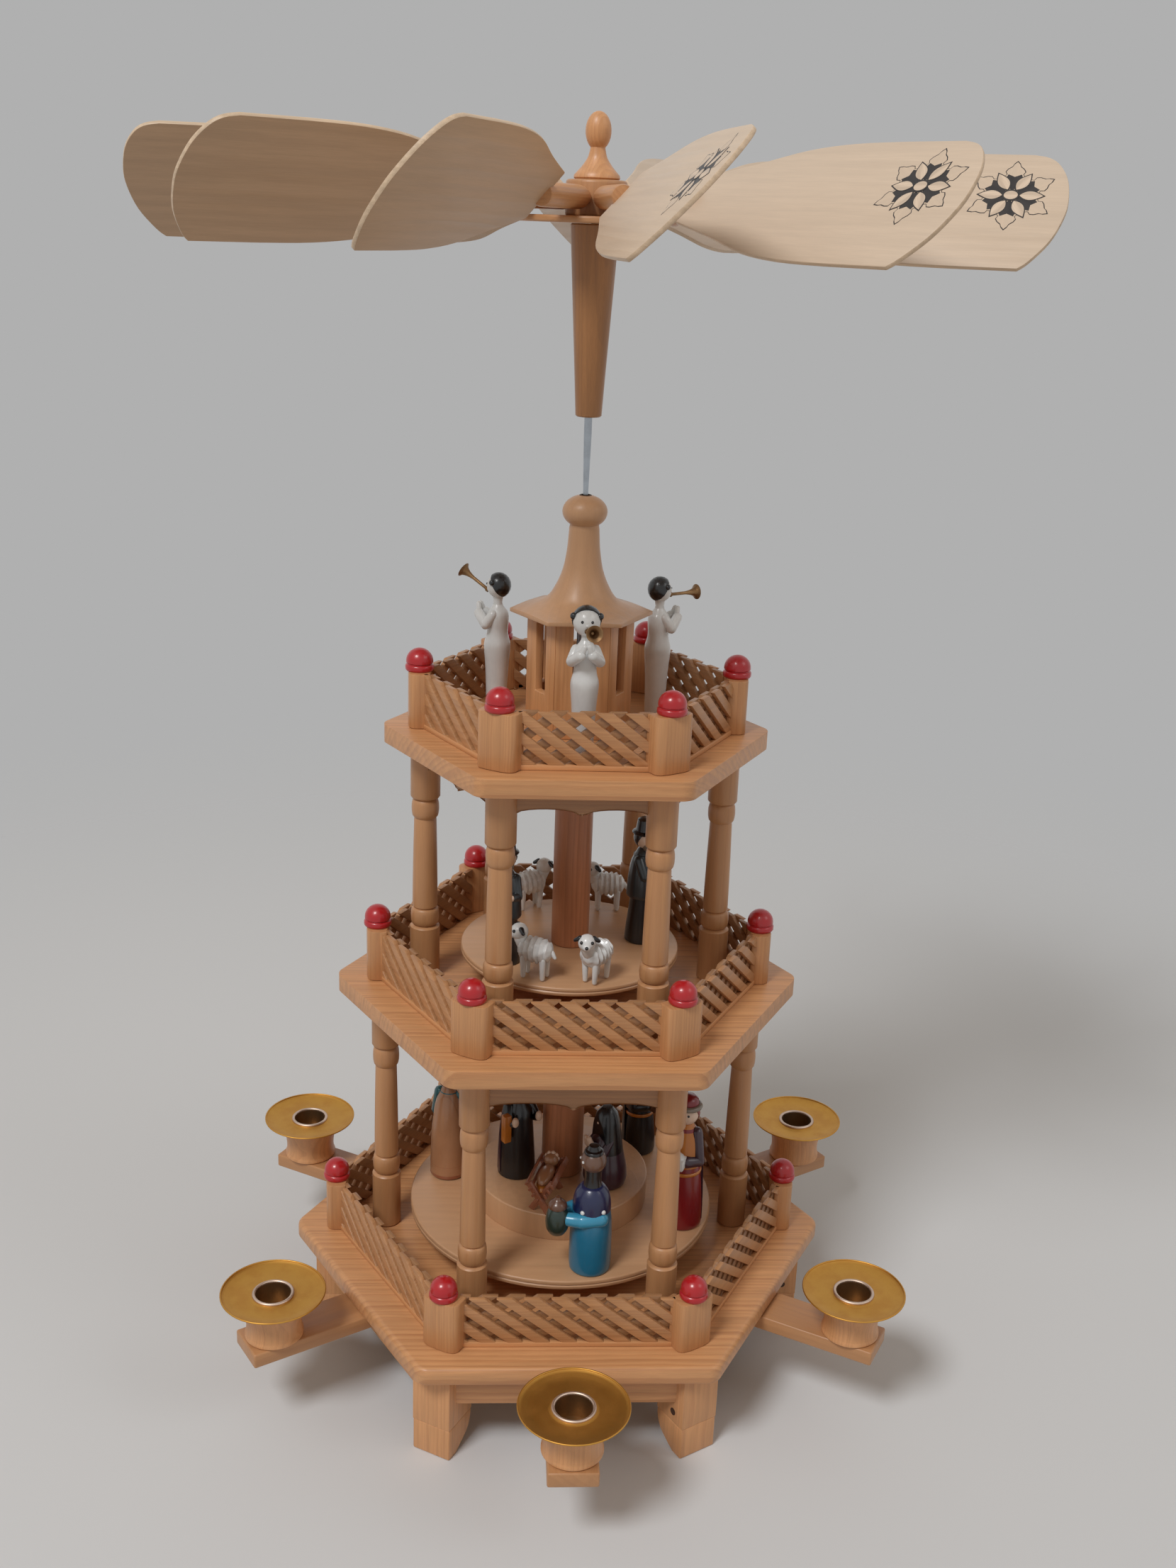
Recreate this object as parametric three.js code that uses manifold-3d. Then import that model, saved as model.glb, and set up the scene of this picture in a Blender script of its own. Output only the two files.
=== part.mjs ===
// Christmas pyramid: three hexagonal decks, a candle-driven rotor with twelve wing blades, and turned figures.
// Millimetres, +Z up, origin on the floor under the spindle. The front is the -Y side.
import * as THREE from "three";
import { mergeVertices } from "three/addons/utils/BufferGeometryUtils.js";
import Module from "manifold-3d";

const wasm = await Module();
wasm.setup();

// Clearances
const glueLine = 0.1;
const fitGap = 0.3;

// Decks, from the bottom one to the top one
const sideCount = 6;
const deckRadius = [127, 106, 85];
const deckThickness = 8;
const deckCornerRound = 8;

// Base frame
const footHeight = 43;
const footWidth = 18.4;
const footDepth = 18.5;
const footInset = 11;
const footToe = 6;
const footCurveShare = 0.42;
const railHeight = 16.5;
const railThickness = 8;
const railInset = 9;

// Columns and valances of the two storeys
const columnLength = [123.1, 111.2];
const columnCircle = [83.6, 65.9];
const columnBlockRadius = 6.7;
const columnBeadRadius = 6.3;
const columnShaftRadius = 5.4;
const columnNeckRadius = 4.7;
const columnBeadShare = 0.23;
const columnShaftShare = 0.3;
const columnNeckShare = 0.69;
const columnHeadShare = 0.76;
const valanceDrop = 9.5;
const valanceArchRise = 3.7;
const valanceThickness = 4;

// Fences
const fenceHeight = 24;
const fenceThickness = 4.4;
const latticePitch = 17.5;
const latticeSlatSpan = 9.9;
const postWidth = 17.5;
const postDepth = 9.5;
const postInset = [20.5, 19.5, 17];
const postEdgeRound = 3;
const capRadius = 6.2;
const capHeight = 9.7;

// Candle holders
const candleCircle = 148;
const armWidth = 21;
const armThickness = 7;
const armInnerRadius = 84;
const armOverhang = 13;
const cupHeight = 19;
const cupFootRadius = 12.2;
const cupWaistRadius = 11.2;
const cupRimRadius = 13.6;
const socketRadius = 7.7;
const socketDepth = 9;
const socketWall = 0.5;
const plateRadius = 23;
const plateFlatRadius = 18.5;
const plateThickness = 0.9;
const plateRimRise = 2.9;
const socketLipRise = 2.3;

// Crown on the top deck
const cageRadius = 23;
const cageWall = 4;
const cageHeight = 50.5;
const cageSlotWidth = 7.8;
const cageSlotSill = 18;
const roofRadius = 30.5;
const roofEdgeThickness = 1.4;
const roofCurve = [[0.67, 0.09], [0.49, 0.17], [0.36, 0.35], [0.28, 0.52], [0.235, 0.74]];
const roofNeckRadius = 6.2;
const roofNeckRise = 36.3;
const roofBallRadius = 9.5;
const roofBallHeight = 14.8;

// Spindle and the wooden parts on it
const rodRadius = 1.6;
const rodTipLength = 4;
const bearingRadius = 8;
const bearingHeight = 6;
const bearingDimple = 3;
const trunkRadius = [9.75, 8.5];
const trunkWayGap = 3;
const turntableRadius = [72, 49.5];
const turntableThickness = [4.5, 4];
const turntableLift = [12, 13.1];
const stageRadius = 41;
const stageHeight = 13;
const trunkInCage = 35;
const rodVisibleLength = 31.2;
const sleeveLength = 74.8;
const sleeveFootRadius = 5.4;
const sleeveHeadRadius = 9.75;
const hubRadius = 12;
const hubHeight = 13.6;
const hubDiscRadius = 33;
const hubDiscThickness = 2.6;
const rodInHub = 9;
const finialRadius = 9.2;
const finialHeight = 25.1;
const finialNeckRadius = 3.05;
const finialNeckShare = 0.43;
const finialBallRadius = 5.1;

// Wing blades
const bladeCount = 12;
const bladeAzimuth = 6.5;
const bladePitch = 47;
const bladeThickness = 1.8;
const bladeRootRadius = 55;
const bladeShoulderRadius = 118;
const bladeTipRadius = 180;
const bladeRootHalfWidth = 11;
const bladeHalfWidth = 27;
const bladeLeadingSetback = 4.5;
const bladeTrailingSetback = 11.5;
const stemRadius = 4.5;
const stemEndRadius = 58;
const stemConeRadius = 20;
const stemNeckRadius = 2.6;
const pegRadius = 1.5;
const pegLength = 4;

// Figures on the decks and turntables
const angelHeight = 62;
const angelSkirtRadius = 5.6;
const angelShoulderRadius = 6.2;
const angelShoulderHeight = 38;
const angelHeadRadius = 6.4;
const angelCircle = 41;
const hornLength = 15;
const hornRadius = 1.3;
const hornBellRadius = 3.2;
const hornTilts = [10, 0, 30];
const shepherdHeight = [59, 58];
const shepherdSkirtRadius = 8;
const shepherdBrimRadius = [8, 7];
const flockCircle = 42;
const flockAzimuths = [-114, -77, 63, 115];
const flockFacings = [-90, -90, 117, -90];
const sheepLegHeight = 12;
const sheepLength = 20;
const kingHeight = [50, 67, 62];
const kingSkirtRadius = [10.2, 9.8, 9.8];
const kingBrimRadius = [8.3, 6, 6];
const driverHeight = 55;
const driverSkirtRadius = 9;
const fatherHeight = 54;
const fatherBrimRadius = 5.5;
const motherHeight = 40;
const motherSkirtRadius = 10;
const mangerLength = 24;
const mangerHeight = 14;
const mangerDepth = 8;
const babyLength = 17;

// Round parts
const columnFacets = 8;
const smallFacets = 8;
const capFacets = 6;
const figureFacets = 7;
const pegFacets = 4;
const hornFacets = 5;
const trunkFacets = 12;
const socketFacets = 8;
const discFacets = 24;
const bellFacets = 12;

const full = Math.PI * 2;
const rad = THREE.MathUtils.degToRad;
const sideAngle = full / sideCount;
const apothemShare = Math.cos(Math.PI / sideCount);

// Materials
function finish(color, roughness, metalness = 0) {
  return new THREE.MeshStandardMaterial({ color, roughness, metalness });
}
const pine = finish(0xba8c5f, 0.45);
const darkPine = finish(0x8f5f3c, 0.5);
const limewood = finish(0xd6bea0, 0.6);
const brass = finish(0xc9a23a, 0.3, 1);
const steel = finish(0xb5b5b0, 0.3, 1);
const paint = {
  white: finish(0xe6e2d8, 0.45),
  lightBlue: finish(0x5fb4c8, 0.4),
  teal: finish(0x0f5c5a, 0.4),
  red: finish(0xb03020, 0.35),
  black: finish(0x1c1a1a, 0.4),
  purple: finish(0x3a1f3f, 0.4),
  green: finish(0x1f3a24, 0.45),
};

// Solids
function solid(geometry) {
  const bare = geometry.clone();
  bare.deleteAttribute("normal");
  bare.deleteAttribute("uv");
  const merged = mergeVertices(bare, 1e-4);
  const vertProperties = merged.attributes.position.array;
  const triVerts = new Uint32Array(merged.index.array);
  return new wasm.Manifold(new wasm.Mesh({ numProp: 3, vertProperties, triVerts }));
}

function geometryOf(body) {
  const mesh = body.getMesh();
  const geometry = new THREE.BufferGeometry();
  geometry.setAttribute("position", new THREE.BufferAttribute(mesh.vertProperties, 3));
  geometry.setIndex(new THREE.BufferAttribute(mesh.triVerts, 1));
  geometry.computeVertexNormals();
  return geometry;
}

const join = (...bodies) => bodies.reduce((whole, body) => whole.add(body));
const cut = (body, ...tools) => tools.reduce((whole, tool) => whole.subtract(tool), body);

// A turned solid about Z. The profile runs from the axis at the bottom to the axis at the top, as [radius, height]
// pairs.
function turned(profile, facets, phase = 0) {
  const points = profile.map(([radius, height]) => new THREE.Vector2(radius, height));
  return solid(new THREE.LatheGeometry(points, facets, phase).rotateX(Math.PI / 2));
}

function rod(radius, bottom, top, facets = smallFacets) {
  return turned([[0, bottom], [radius, bottom], [radius, top], [0, top]], facets);
}

function prism(shape, bottom, height) {
  return solid(new THREE.ExtrudeGeometry(shape, { depth: height, bevelEnabled: false }).translate(0, 0, bottom));
}

function block(x0, x1, y0, y1, z0, z1) {
  const box = new THREE.BoxGeometry(x1 - x0, y1 - y0, z1 - z0);
  return solid(box.translate((x0 + x1) / 2, (y0 + y1) / 2, (z0 + z1) / 2));
}

function outline(points) {
  return new THREE.Shape(points.map(([x, y]) => new THREE.Vector2(x, y)));
}

const corner = (radius, index) => [radius * Math.cos(index * sideAngle), radius * Math.sin(index * sideAngle)];
const hexagon = (radius) => outline(Array.from({ length: sideCount }, (_, index) => corner(radius, index)));

// The same solid repeated round Z
function round(body, count, start = 0) {
  const copies = Array.from({ length: count }, (_, index) => body.rotate([0, 0, start + (index * 360) / count]));
  return join(...copies);
}

// A tapered round bar between two points
function bar(from, to, startRadius, endRadius, facets = 6) {
  const a = new THREE.Vector3(...from);
  const b = new THREE.Vector3(...to);
  const way = b.clone().sub(a);
  const geometry = new THREE.CylinderGeometry(endRadius, startRadius, way.length(), facets);
  const turn = new THREE.Quaternion().setFromUnitVectors(new THREE.Vector3(0, 1, 0), way.normalize());
  return solid(geometry.applyQuaternion(turn).translate(...a.add(b).multiplyScalar(0.5)));
}

// Levels, from the floor up
const lowerDeckTop = footHeight + glueLine + deckThickness;
const middleDeckTop = lowerDeckTop + columnLength[0] + 2 * glueLine + deckThickness;
const upperDeckTop = middleDeckTop + columnLength[1] + 2 * glueLine + deckThickness;
const deckTop = [lowerDeckTop, middleDeckTop, upperDeckTop];
const roofTop = cageHeight + 2 * glueLine + roofNeckRise + roofBallHeight;
const sleeveFoot = upperDeckTop + roofTop + rodVisibleLength;
const hubFoot = sleeveFoot + sleeveLength + glueLine;
const hubTop = hubFoot + hubDiscThickness + hubHeight;
const bladeLevel = hubFoot + hubDiscThickness + hubHeight / 2;
const turntableFoot = [lowerDeckTop + turntableLift[0], middleDeckTop + turntableLift[1]];
const stageTop = turntableFoot[0] + turntableThickness[0] + stageHeight;
const middleTableTop = turntableFoot[1] + turntableThickness[1];

// Decks
function deckShape(radius) {
  const shape = new THREE.Shape();
  const setback = deckCornerRound * Math.tan(sideAngle / 2);
  for (let index = 0; index < sideCount; index += 1) {
    const [x, y] = corner(radius, index);
    const toward = (other) => {
      const [ox, oy] = corner(radius, other);
      return [x + ((ox - x) * setback) / radius, y + ((oy - y) * setback) / radius];
    };
    const enter = toward(index - 1);
    const leave = toward(index + 1);
    if (index === 0) shape.moveTo(...enter);
    else shape.lineTo(...enter);
    shape.quadraticCurveTo(x, y, ...leave);
  }
  shape.closePath();
  return shape;
}

function deck(level) {
  const extrude = { depth: deckThickness, bevelEnabled: false, curveSegments: 3 };
  const board = solid(new THREE.ExtrudeGeometry(deckShape(deckRadius[level]), extrude));
  if (level === 0) return board;
  return cut(board, rod(trunkRadius[level - 1] + trunkWayGap, -1, deckThickness + 1, 10));
}

// Base: six feet joined by rails under the lowest deck, notched for the candle arms
function baseFrame() {
  const railOuter = (deckRadius[0] * apothemShare - railInset) / apothemShare;
  const railInner = railOuter - railThickness / apothemShare;
  const footBottom = footHeight - railHeight;
  const ring = cut(
    prism(hexagon(railOuter), footBottom, railHeight),
    prism(hexagon(railInner), footBottom - 1, railHeight + 2),
  );
  const outer = deckRadius[0] - footInset;
  const inner = outer - footDepth;
  const side = new THREE.Shape();
  side.moveTo(inner, footHeight);
  side.lineTo(inner, footHeight * footCurveShare);
  side.quadraticCurveTo(inner + 1, footHeight * footCurveShare * 0.3, outer - footToe, 0);
  side.lineTo(outer, 0);
  side.lineTo(outer, footHeight);
  side.closePath();
  const extrude = { depth: footWidth, bevelEnabled: false, curveSegments: 4 };
  const foot = solid(
    new THREE.ExtrudeGeometry(side, extrude).rotateX(Math.PI / 2).translate(0, footWidth / 2, 0),
  );
  const notchFoot = footHeight - armThickness - fitGap;
  const notchHalf = armWidth / 2 + fitGap;
  const notch = block(0, railOuter, -notchHalf, notchHalf, notchFoot, footHeight + 1);
  return cut(join(ring, round(foot, sideCount)), round(notch, sideCount, 30));
}

// Columns with the valance boards between their heads
function columnProfile(length) {
  const block = columnBlockRadius;
  const rings = [
    [block, 0], [columnBeadRadius, columnBeadShare], [columnShaftRadius, columnShaftShare],
    [columnNeckRadius, columnNeckShare], [block, columnHeadShare], [block, 1],
  ];
  return [[0, 0], ...rings.map(([radius, share]) => [radius, share * length]), [0, length]];
}

function valance(level) {
  const half = columnCircle[level] / 2;
  const archEnd = half - columnBlockRadius * 0.8;
  const drop = columnLength[level] - valanceDrop;
  const shape = new THREE.Shape();
  shape.moveTo(-half, columnLength[level]);
  shape.lineTo(-half, drop);
  shape.lineTo(-archEnd, drop);
  shape.quadraticCurveTo(-archEnd / 2, drop + 2 * valanceArchRise, 0, drop);
  shape.quadraticCurveTo(archEnd / 2, drop + 2 * valanceArchRise, archEnd, drop);
  shape.lineTo(half, drop);
  shape.lineTo(half, columnLength[level]);
  shape.closePath();
  const extrude = { depth: valanceThickness, bevelEnabled: false, curveSegments: 2 };
  const board = new THREE.ExtrudeGeometry(shape, extrude).rotateX(Math.PI / 2);
  return solid(board.translate(0, valanceThickness / 2 - columnCircle[level] * apothemShare, 0));
}

function arcade(level) {
  const phase = Math.PI / columnFacets;
  const column = turned(columnProfile(columnLength[level]), columnFacets, phase).translate([columnCircle[level], 0, 0]);
  return join(round(column, sideCount), round(valance(level), sideCount));
}

// Fences: lattice boards with diamond holes between domed posts
function lattice(width) {
  const reach = (latticePitch - latticeSlatSpan) / 2;
  const half = width / 2;
  const lastCentre = half - reach - 1;
  const rowCount = Math.round((2 * fenceHeight) / latticePitch);
  const hole = prism(outline([[-reach, 0], [0, -reach], [reach, 0], [0, reach]]), -1, fenceThickness + 2);
  let board = prism(outline([[-half, 0], [half, 0], [half, fenceHeight], [-half, fenceHeight]]), 0, fenceThickness);
  for (let row = 1; row <= rowCount; row += 1) {
    const first = row % 2 ? 0 : latticePitch / 2;
    for (let x = first; x < lastCentre; x += latticePitch) {
      for (const centre of x ? [-x, x] : [0]) {
        board = board.subtract(hole.translate([centre, (row * fenceHeight) / rowCount, 0]));
      }
    }
  }
  return board.rotate([90, 0, 0]);
}

function post() {
  const half = postWidth / 2;
  const round = postEdgeRound;
  const inner = -postDepth / 2;
  const outer = postDepth / 2;
  const section = outline([
    [inner, -half], [outer - round, -half], [outer, round - half],
    [outer, half - round], [outer - round, half], [inner, half],
  ]);
  const cap = turned([[0, 0], [capRadius, 0], [capRadius * 0.85, capHeight * 0.65], [0, capHeight]], capFacets);
  return join(prism(section, 0, fenceHeight), cap.translate([0, 0, fenceHeight]));
}

function fence(level) {
  const radius = deckRadius[level] - postInset[level];
  const panelWidth = radius - postWidth * apothemShare + 1;
  const panel = lattice(panelWidth).translate([0, fenceThickness / 2 - radius * apothemShare, 0]);
  return join(round(post().translate([radius, 0, 0]), sideCount), round(panel, sideCount));
}

// Candle holders
function candleArm() {
  const half = armWidth / 2;
  const armFoot = footHeight - armThickness;
  const board = block(armInnerRadius, candleCircle + armOverhang, -half, half, armFoot, footHeight);
  const socket = socketRadius + socketWall + fitGap;
  const floor = cupHeight - socketDepth - socketWall - fitGap;
  const cup = turned([
    [0, -1], [cupFootRadius, 0], [cupFootRadius, cupHeight * 0.14], [cupWaistRadius, cupHeight * 0.38],
    [cupRimRadius, cupHeight], [socket, cupHeight], [socket, floor], [0, floor],
  ], socketFacets);
  return join(board, cup.translate([candleCircle, 0, footHeight]));
}

function dripPlate() {
  const tube = socketRadius + socketWall;
  const rise = plateRimRise;
  const t = plateThickness;
  return turned([
    [0, -socketDepth - socketWall], [tube, -socketDepth - socketWall], [tube, 0], [plateFlatRadius, 0],
    [plateRadius, rise], [plateFlatRadius - t, t], [tube + t, t], [socketRadius, socketLipRise],
    [socketRadius, -socketDepth], [0, -socketDepth],
  ], socketFacets);
}

// Crown: slotted hexagonal cage under a bell roof with a ball
function cage() {
  const wall = cut(
    prism(hexagon(cageRadius), 0, cageHeight),
    prism(hexagon(cageRadius - cageWall / apothemShare), -1, cageHeight + 2),
  );
  const half = cageSlotWidth / 2;
  const slot = block(cageRadius / 2, cageRadius + 1, -half, half, cageSlotSill, cageHeight + 1);
  return cut(wall, round(slot, sideCount, 30));
}

function bellRoof() {
  const ballMid = roofNeckRise + roofBallHeight / 2;
  const top = roofNeckRise + roofBallHeight;
  const bell = turned([
    [0, 0], [roofRadius, 0], [roofRadius, roofEdgeThickness],
    ...roofCurve.map(([width, rise]) => [roofRadius * width, roofNeckRise * rise]),
    [roofNeckRadius, roofNeckRise], [roofBallRadius * 0.85, roofNeckRise + roofBallHeight * 0.2],
    [roofBallRadius, ballMid], [roofBallRadius * 0.8, ballMid + roofBallHeight * 0.32], [0, top],
  ], bellFacets);
  const edge = prism(hexagon(roofRadius), -1, top + 2);
  return cut(bell.intersect(edge), rod(rodRadius + 2 * fitGap, -1, top + 1));
}

// Rotor
const bore = (bottom, top) => rod(rodRadius + fitGap, bottom - 1, top + 1);

function disc(radius, thickness) {
  return rod(radius, 0, thickness, discFacets);
}

function lowerTurntable() {
  const height = turntableThickness[0] + stageHeight;
  const stage = disc(stageRadius, stageHeight + 1).translate([0, 0, turntableThickness[0] - 1]);
  return cut(join(disc(turntableRadius[0], turntableThickness[0]), stage), bore(0, height));
}

function spindleRod() {
  const bottom = lowerDeckTop + bearingHeight - bearingDimple + fitGap;
  const top = hubFoot + hubDiscThickness + rodInHub;
  return turned([[0, bottom], [rodRadius, bottom + rodTipLength], [rodRadius, top], [0, top]], smallFacets);
}

function bearingCup() {
  const dimple = bearingDimple * 1.2;
  return turned([[0, 0], [bearingRadius, 0], [bearingRadius, bearingHeight], [dimple, bearingHeight],
    [0, bearingHeight - bearingDimple]], trunkFacets);
}

function hub() {
  const body = join(
    disc(hubDiscRadius, hubDiscThickness),
    rod(hubRadius, hubDiscThickness, hubDiscThickness + hubHeight, bladeCount),
  );
  const level = hubDiscThickness + hubHeight / 2;
  const hole = bar([hubRadius - pegLength - fitGap, 0, level], [hubRadius + 1, 0, level],
    (pegRadius + fitGap) * Math.SQRT2, (pegRadius + fitGap) * Math.SQRT2, pegFacets);
  return cut(body, bore(-1, hubDiscThickness + rodInHub + fitGap), round(hole, bladeCount, bladeAzimuth));
}

function finial() {
  const neck = finialHeight * finialNeckShare;
  const ballHeight = finialHeight - neck;
  return turned([
    [0, 0], [finialRadius, 0], [finialRadius * 0.82, neck * 0.3], [finialNeckRadius * 1.3, neck * 0.75],
    [finialNeckRadius, neck], [finialBallRadius * 0.9, neck + ballHeight * 0.25],
    [finialBallRadius, neck + ballHeight * 0.55], [finialBallRadius * 0.65, finialHeight - ballHeight * 0.1],
    [0, finialHeight],
  ], smallFacets);
}

// A blade lies flat here, along X; its mesh is turned about X to its pitch
function wingBlade() {
  const root = bladeRootRadius;
  const half = bladeHalfWidth;
  const tip = bladeTipRadius;
  const shape = new THREE.Shape();
  const bulge = (bladeLeadingSetback + bladeTrailingSetback) / 2;
  shape.moveTo(root, -bladeRootHalfWidth);
  shape.lineTo(bladeShoulderRadius, -half);
  shape.lineTo(tip - bladeTrailingSetback, -half);
  shape.quadraticCurveTo(tip + bulge, half * 0.2, tip - bladeLeadingSetback, half);
  shape.lineTo(bladeShoulderRadius, half);
  shape.lineTo(root, bladeRootHalfWidth);
  shape.closePath();
  const extrude = { depth: bladeThickness, bevelEnabled: false, curveSegments: 4 };
  const board = solid(new THREE.ExtrudeGeometry(shape, extrude).translate(0, 0, -bladeThickness / 2));
  const neck = hubRadius + fitGap;
  const stem = turned([
    [0, hubRadius - pegLength], [pegRadius, hubRadius - pegLength], [pegRadius, neck], [stemNeckRadius, neck],
    [stemRadius, stemConeRadius], [stemRadius, stemEndRadius], [0, stemEndRadius],
  ], capFacets);
  return join(board, stem.rotate([0, 90, 0]));
}

// Figures face +X and stand on z = 0. A figure is turned in one piece, from its skirt to its hat, with its
// arms and what it carries glued on. Heights are named from the floor of the figure up.
function doll(skirt, shoulder, shoulderHeight, head, headTop, hat = []) {
  const middle = headTop - head;
  return turned([
    [0, 0], [skirt, 0], [skirt, shoulderHeight * 0.4], [shoulder, shoulderHeight], [head * 0.5, middle - head * 0.9],
    [head, middle - head * 0.3], [head * 0.9, middle + head * 0.4], ...hat, [0, hat.length ? hat.at(-1)[1] : headTop],
  ], figureFacets);
}

// Both arms run forward from the shoulders and meet
function foreArms(shoulder, level, reach, lift) {
  const hand = [reach, 0, level + lift];
  return join(bar([0, shoulder - 2, level], hand, 2.6, 2, 4), bar([0, 2 - shoulder, level], hand, 2.6, 2, 4));
}

const brimmedHat = (foot, brim, crown, top) => [[brim, foot], [crown, foot + 2], [crown * 0.8, top]];

function angel(hornTilt) {
  const horn = turned([[0, 0], [hornRadius, 0], [hornRadius, hornLength - 4], [hornBellRadius, hornLength],
    [0, hornLength]], hornFacets);
  const mouth = angelHeight - angelHeadRadius * 1.7;
  const raised = horn.rotate([0, 90 - hornTilt, 0]).translate([angelHeadRadius - 1.4, 0, mouth]);
  const shoulder = angelShoulderRadius;
  const body = doll(angelSkirtRadius, shoulder, angelShoulderHeight, angelHeadRadius, angelHeight);
  return join(body, foreArms(shoulder, angelShoulderHeight, 10.5, mouth - angelShoulderHeight - 1), raised);
}

function shepherd(height, brim) {
  const shoulder = height * 0.64;
  const body = doll(shepherdSkirtRadius, 7, shoulder, 5.4, height - 4, brimmedHat(height - 7.5, brim, 4.6, height));
  return join(body, foreArms(7, shoulder - 3, 10, -6));
}

function sheep() {
  const length = sheepLength;
  const fleece = turned([[0, -length * 0.45], [4.2, -length * 0.36], [5.8, 0], [4.4, length * 0.28],
    [4, length * 0.4], [3.2, length * 0.55], [0, length * 0.55]], figureFacets);
  const legs = [-0.25, 0.25].map((share) => {
    const x = share * length;
    return block(x - 1.5, x + 1.5, -3.4, 3.4, 0, sheepLegHeight);
  });
  return join(fleece.rotate([0, 90, 0]).rotate([0, -12, 0]).translate([0, 0, sheepLegHeight + 1]), ...legs);
}

function king(height, radius, crown) {
  const shoulder = height * 0.6;
  const gift = block(radius - 3, radius + 6, -4, 4, shoulder * 0.6, shoulder * 0.85);
  const hat = brimmedHat(height - 8, crown, crown * 0.8, height);
  return join(doll(radius, radius * 0.6, shoulder, 5.8, height - 4, hat), gift);
}

function kneelingFigure(height, radius) {
  return join(doll(radius, radius * 0.6, height * 0.5, 5.2, height), foreArms(6.5, height * 0.5, radius + 1, 1));
}

function manger() {
  const half = mangerLength / 2;
  const rim = mangerHeight;
  const floor = rim - mangerDepth;
  const trough = outline([[-5, floor], [5, floor], [7.5, rim], [-7.5, rim]]);
  const crib = prism(trough, -half, mangerLength).rotate([90, 0, 0]);
  const legs = [3 - half, half - 3].map((y) => block(-5, 5, y - 1.2, y + 1.2, 0, floor + 2));
  const lying = babyLength;
  const baby = turned([[0, -lying * 0.47], [2.6, -lying * 0.41], [3.4, lying * 0.12], [2.4, lying * 0.26],
    [2.6, lying * 0.41], [0, lying * 0.53]], figureFacets);
  return join(crib, baby.rotate([90, 0, 0]).translate([0, 0, rim + 0.5]), ...legs);
}

// Scene graph
const pyramid = new THREE.Group();
const stand = new THREE.Group();
const rotor = new THREE.Group();
pyramid.add(stand, rotor);

function place(parent, name, body, material, height = 0) {
  const mesh = new THREE.Mesh(geometryOf(body), material);
  mesh.name = name;
  mesh.position.z = height;
  parent.add(mesh);
  return mesh;
}

function turnedGroup(parent, angle) {
  const group = new THREE.Group();
  group.rotation.z = rad(angle);
  parent.add(group);
  return group;
}

// A figure stands at a radius and azimuth, turned by facing from the outward direction
function stationFigure(parent, name, body, material, level, azimuth, radius, facing = 0) {
  const mesh = place(turnedGroup(parent, azimuth), name, body, material, level + glueLine);
  mesh.position.x = radius;
  mesh.rotation.z = rad(facing);
}

place(stand, "base_frame", baseFrame(), pine);
["lower_deck", "middle_deck", "upper_deck"].forEach((name, level) => {
  place(stand, name, deck(level), pine, deckTop[level] - deckThickness);
});
["lower_arcade", "middle_arcade"].forEach((name, level) => {
  place(stand, name, arcade(level), pine, deckTop[level] + glueLine);
});
["lower_fence", "middle_fence", "upper_fence"].forEach((name, level) => {
  place(stand, name, fence(level), pine, deckTop[level] + glueLine);
});
place(stand, "bearing_cup", bearingCup(), brass, lowerDeckTop);
place(stand, "crown_cage", cage(), pine, upperDeckTop + glueLine);
place(stand, "bell_roof", bellRoof(), pine, upperDeckTop + cageHeight + 2 * glueLine);

for (let index = 0; index < sideCount; index += 1) {
  const side = turnedGroup(stand, index * 60 - 90);
  place(side, `candle_arm_${index + 1}`, candleArm(), pine, -glueLine);
  const plate = place(side, `drip_plate_${index + 1}`, dripPlate(), brass, footHeight + cupHeight);
  plate.position.x = candleCircle;
}

place(rotor, "spindle_rod", spindleRod(), steel);
place(rotor, "lower_turntable", lowerTurntable(), pine, turntableFoot[0]);
const middleTable = cut(disc(turntableRadius[1], turntableThickness[1]), bore(0, turntableThickness[1]));
place(rotor, "middle_turntable", middleTable, pine, turntableFoot[1]);

function trunk(name, level, bottom, top) {
  const length = top - bottom - 2 * glueLine;
  const body = cut(rod(trunkRadius[level], 0, length, trunkFacets), bore(0, length));
  place(rotor, name, body, darkPine, bottom + glueLine);
}
trunk("lower_trunk", 0, stageTop, turntableFoot[1]);
trunk("upper_trunk", 1, middleTableTop, upperDeckTop + trunkInCage);

const taper = [[0, 0], [sleeveFootRadius, 0], [sleeveHeadRadius, sleeveLength], [0, sleeveLength]];
const sleeve = cut(turned(taper, trunkFacets), bore(0, sleeveLength));
place(rotor, "spindle_sleeve", sleeve, darkPine, sleeveFoot);
place(rotor, "blade_hub", hub(), pine, hubFoot);
place(rotor, "finial", finial(), pine, hubTop + glueLine);

for (let index = 0; index < bladeCount; index += 1) {
  const station = turnedGroup(rotor, bladeAzimuth + (index * 360) / bladeCount);
  const blade = place(station, `wing_blade_${index + 1}`, wingBlade(), limewood, bladeLevel);
  blade.rotation.x = rad(bladePitch);
}

hornTilts.forEach((tilt, index) => {
  stationFigure(stand, `angel_${index + 1}`, angel(tilt), paint.white, upperDeckTop, index * 120 - 90, angelCircle);
});
const [tall, low] = shepherdHeight.map((height, index) => shepherd(height, shepherdBrimRadius[index]));
stationFigure(rotor, "shepherd_1", tall, paint.black, middleTableTop, 6, 33, 0);
stationFigure(rotor, "shepherd_2", low, paint.black, middleTableTop, -147, 38, 0);
flockAzimuths.forEach((azimuth, index) => {
  const facing = flockFacings[index];
  stationFigure(rotor, `sheep_${index + 1}`, sheep(), paint.white, middleTableTop, azimuth, flockCircle, facing);
});

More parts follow.
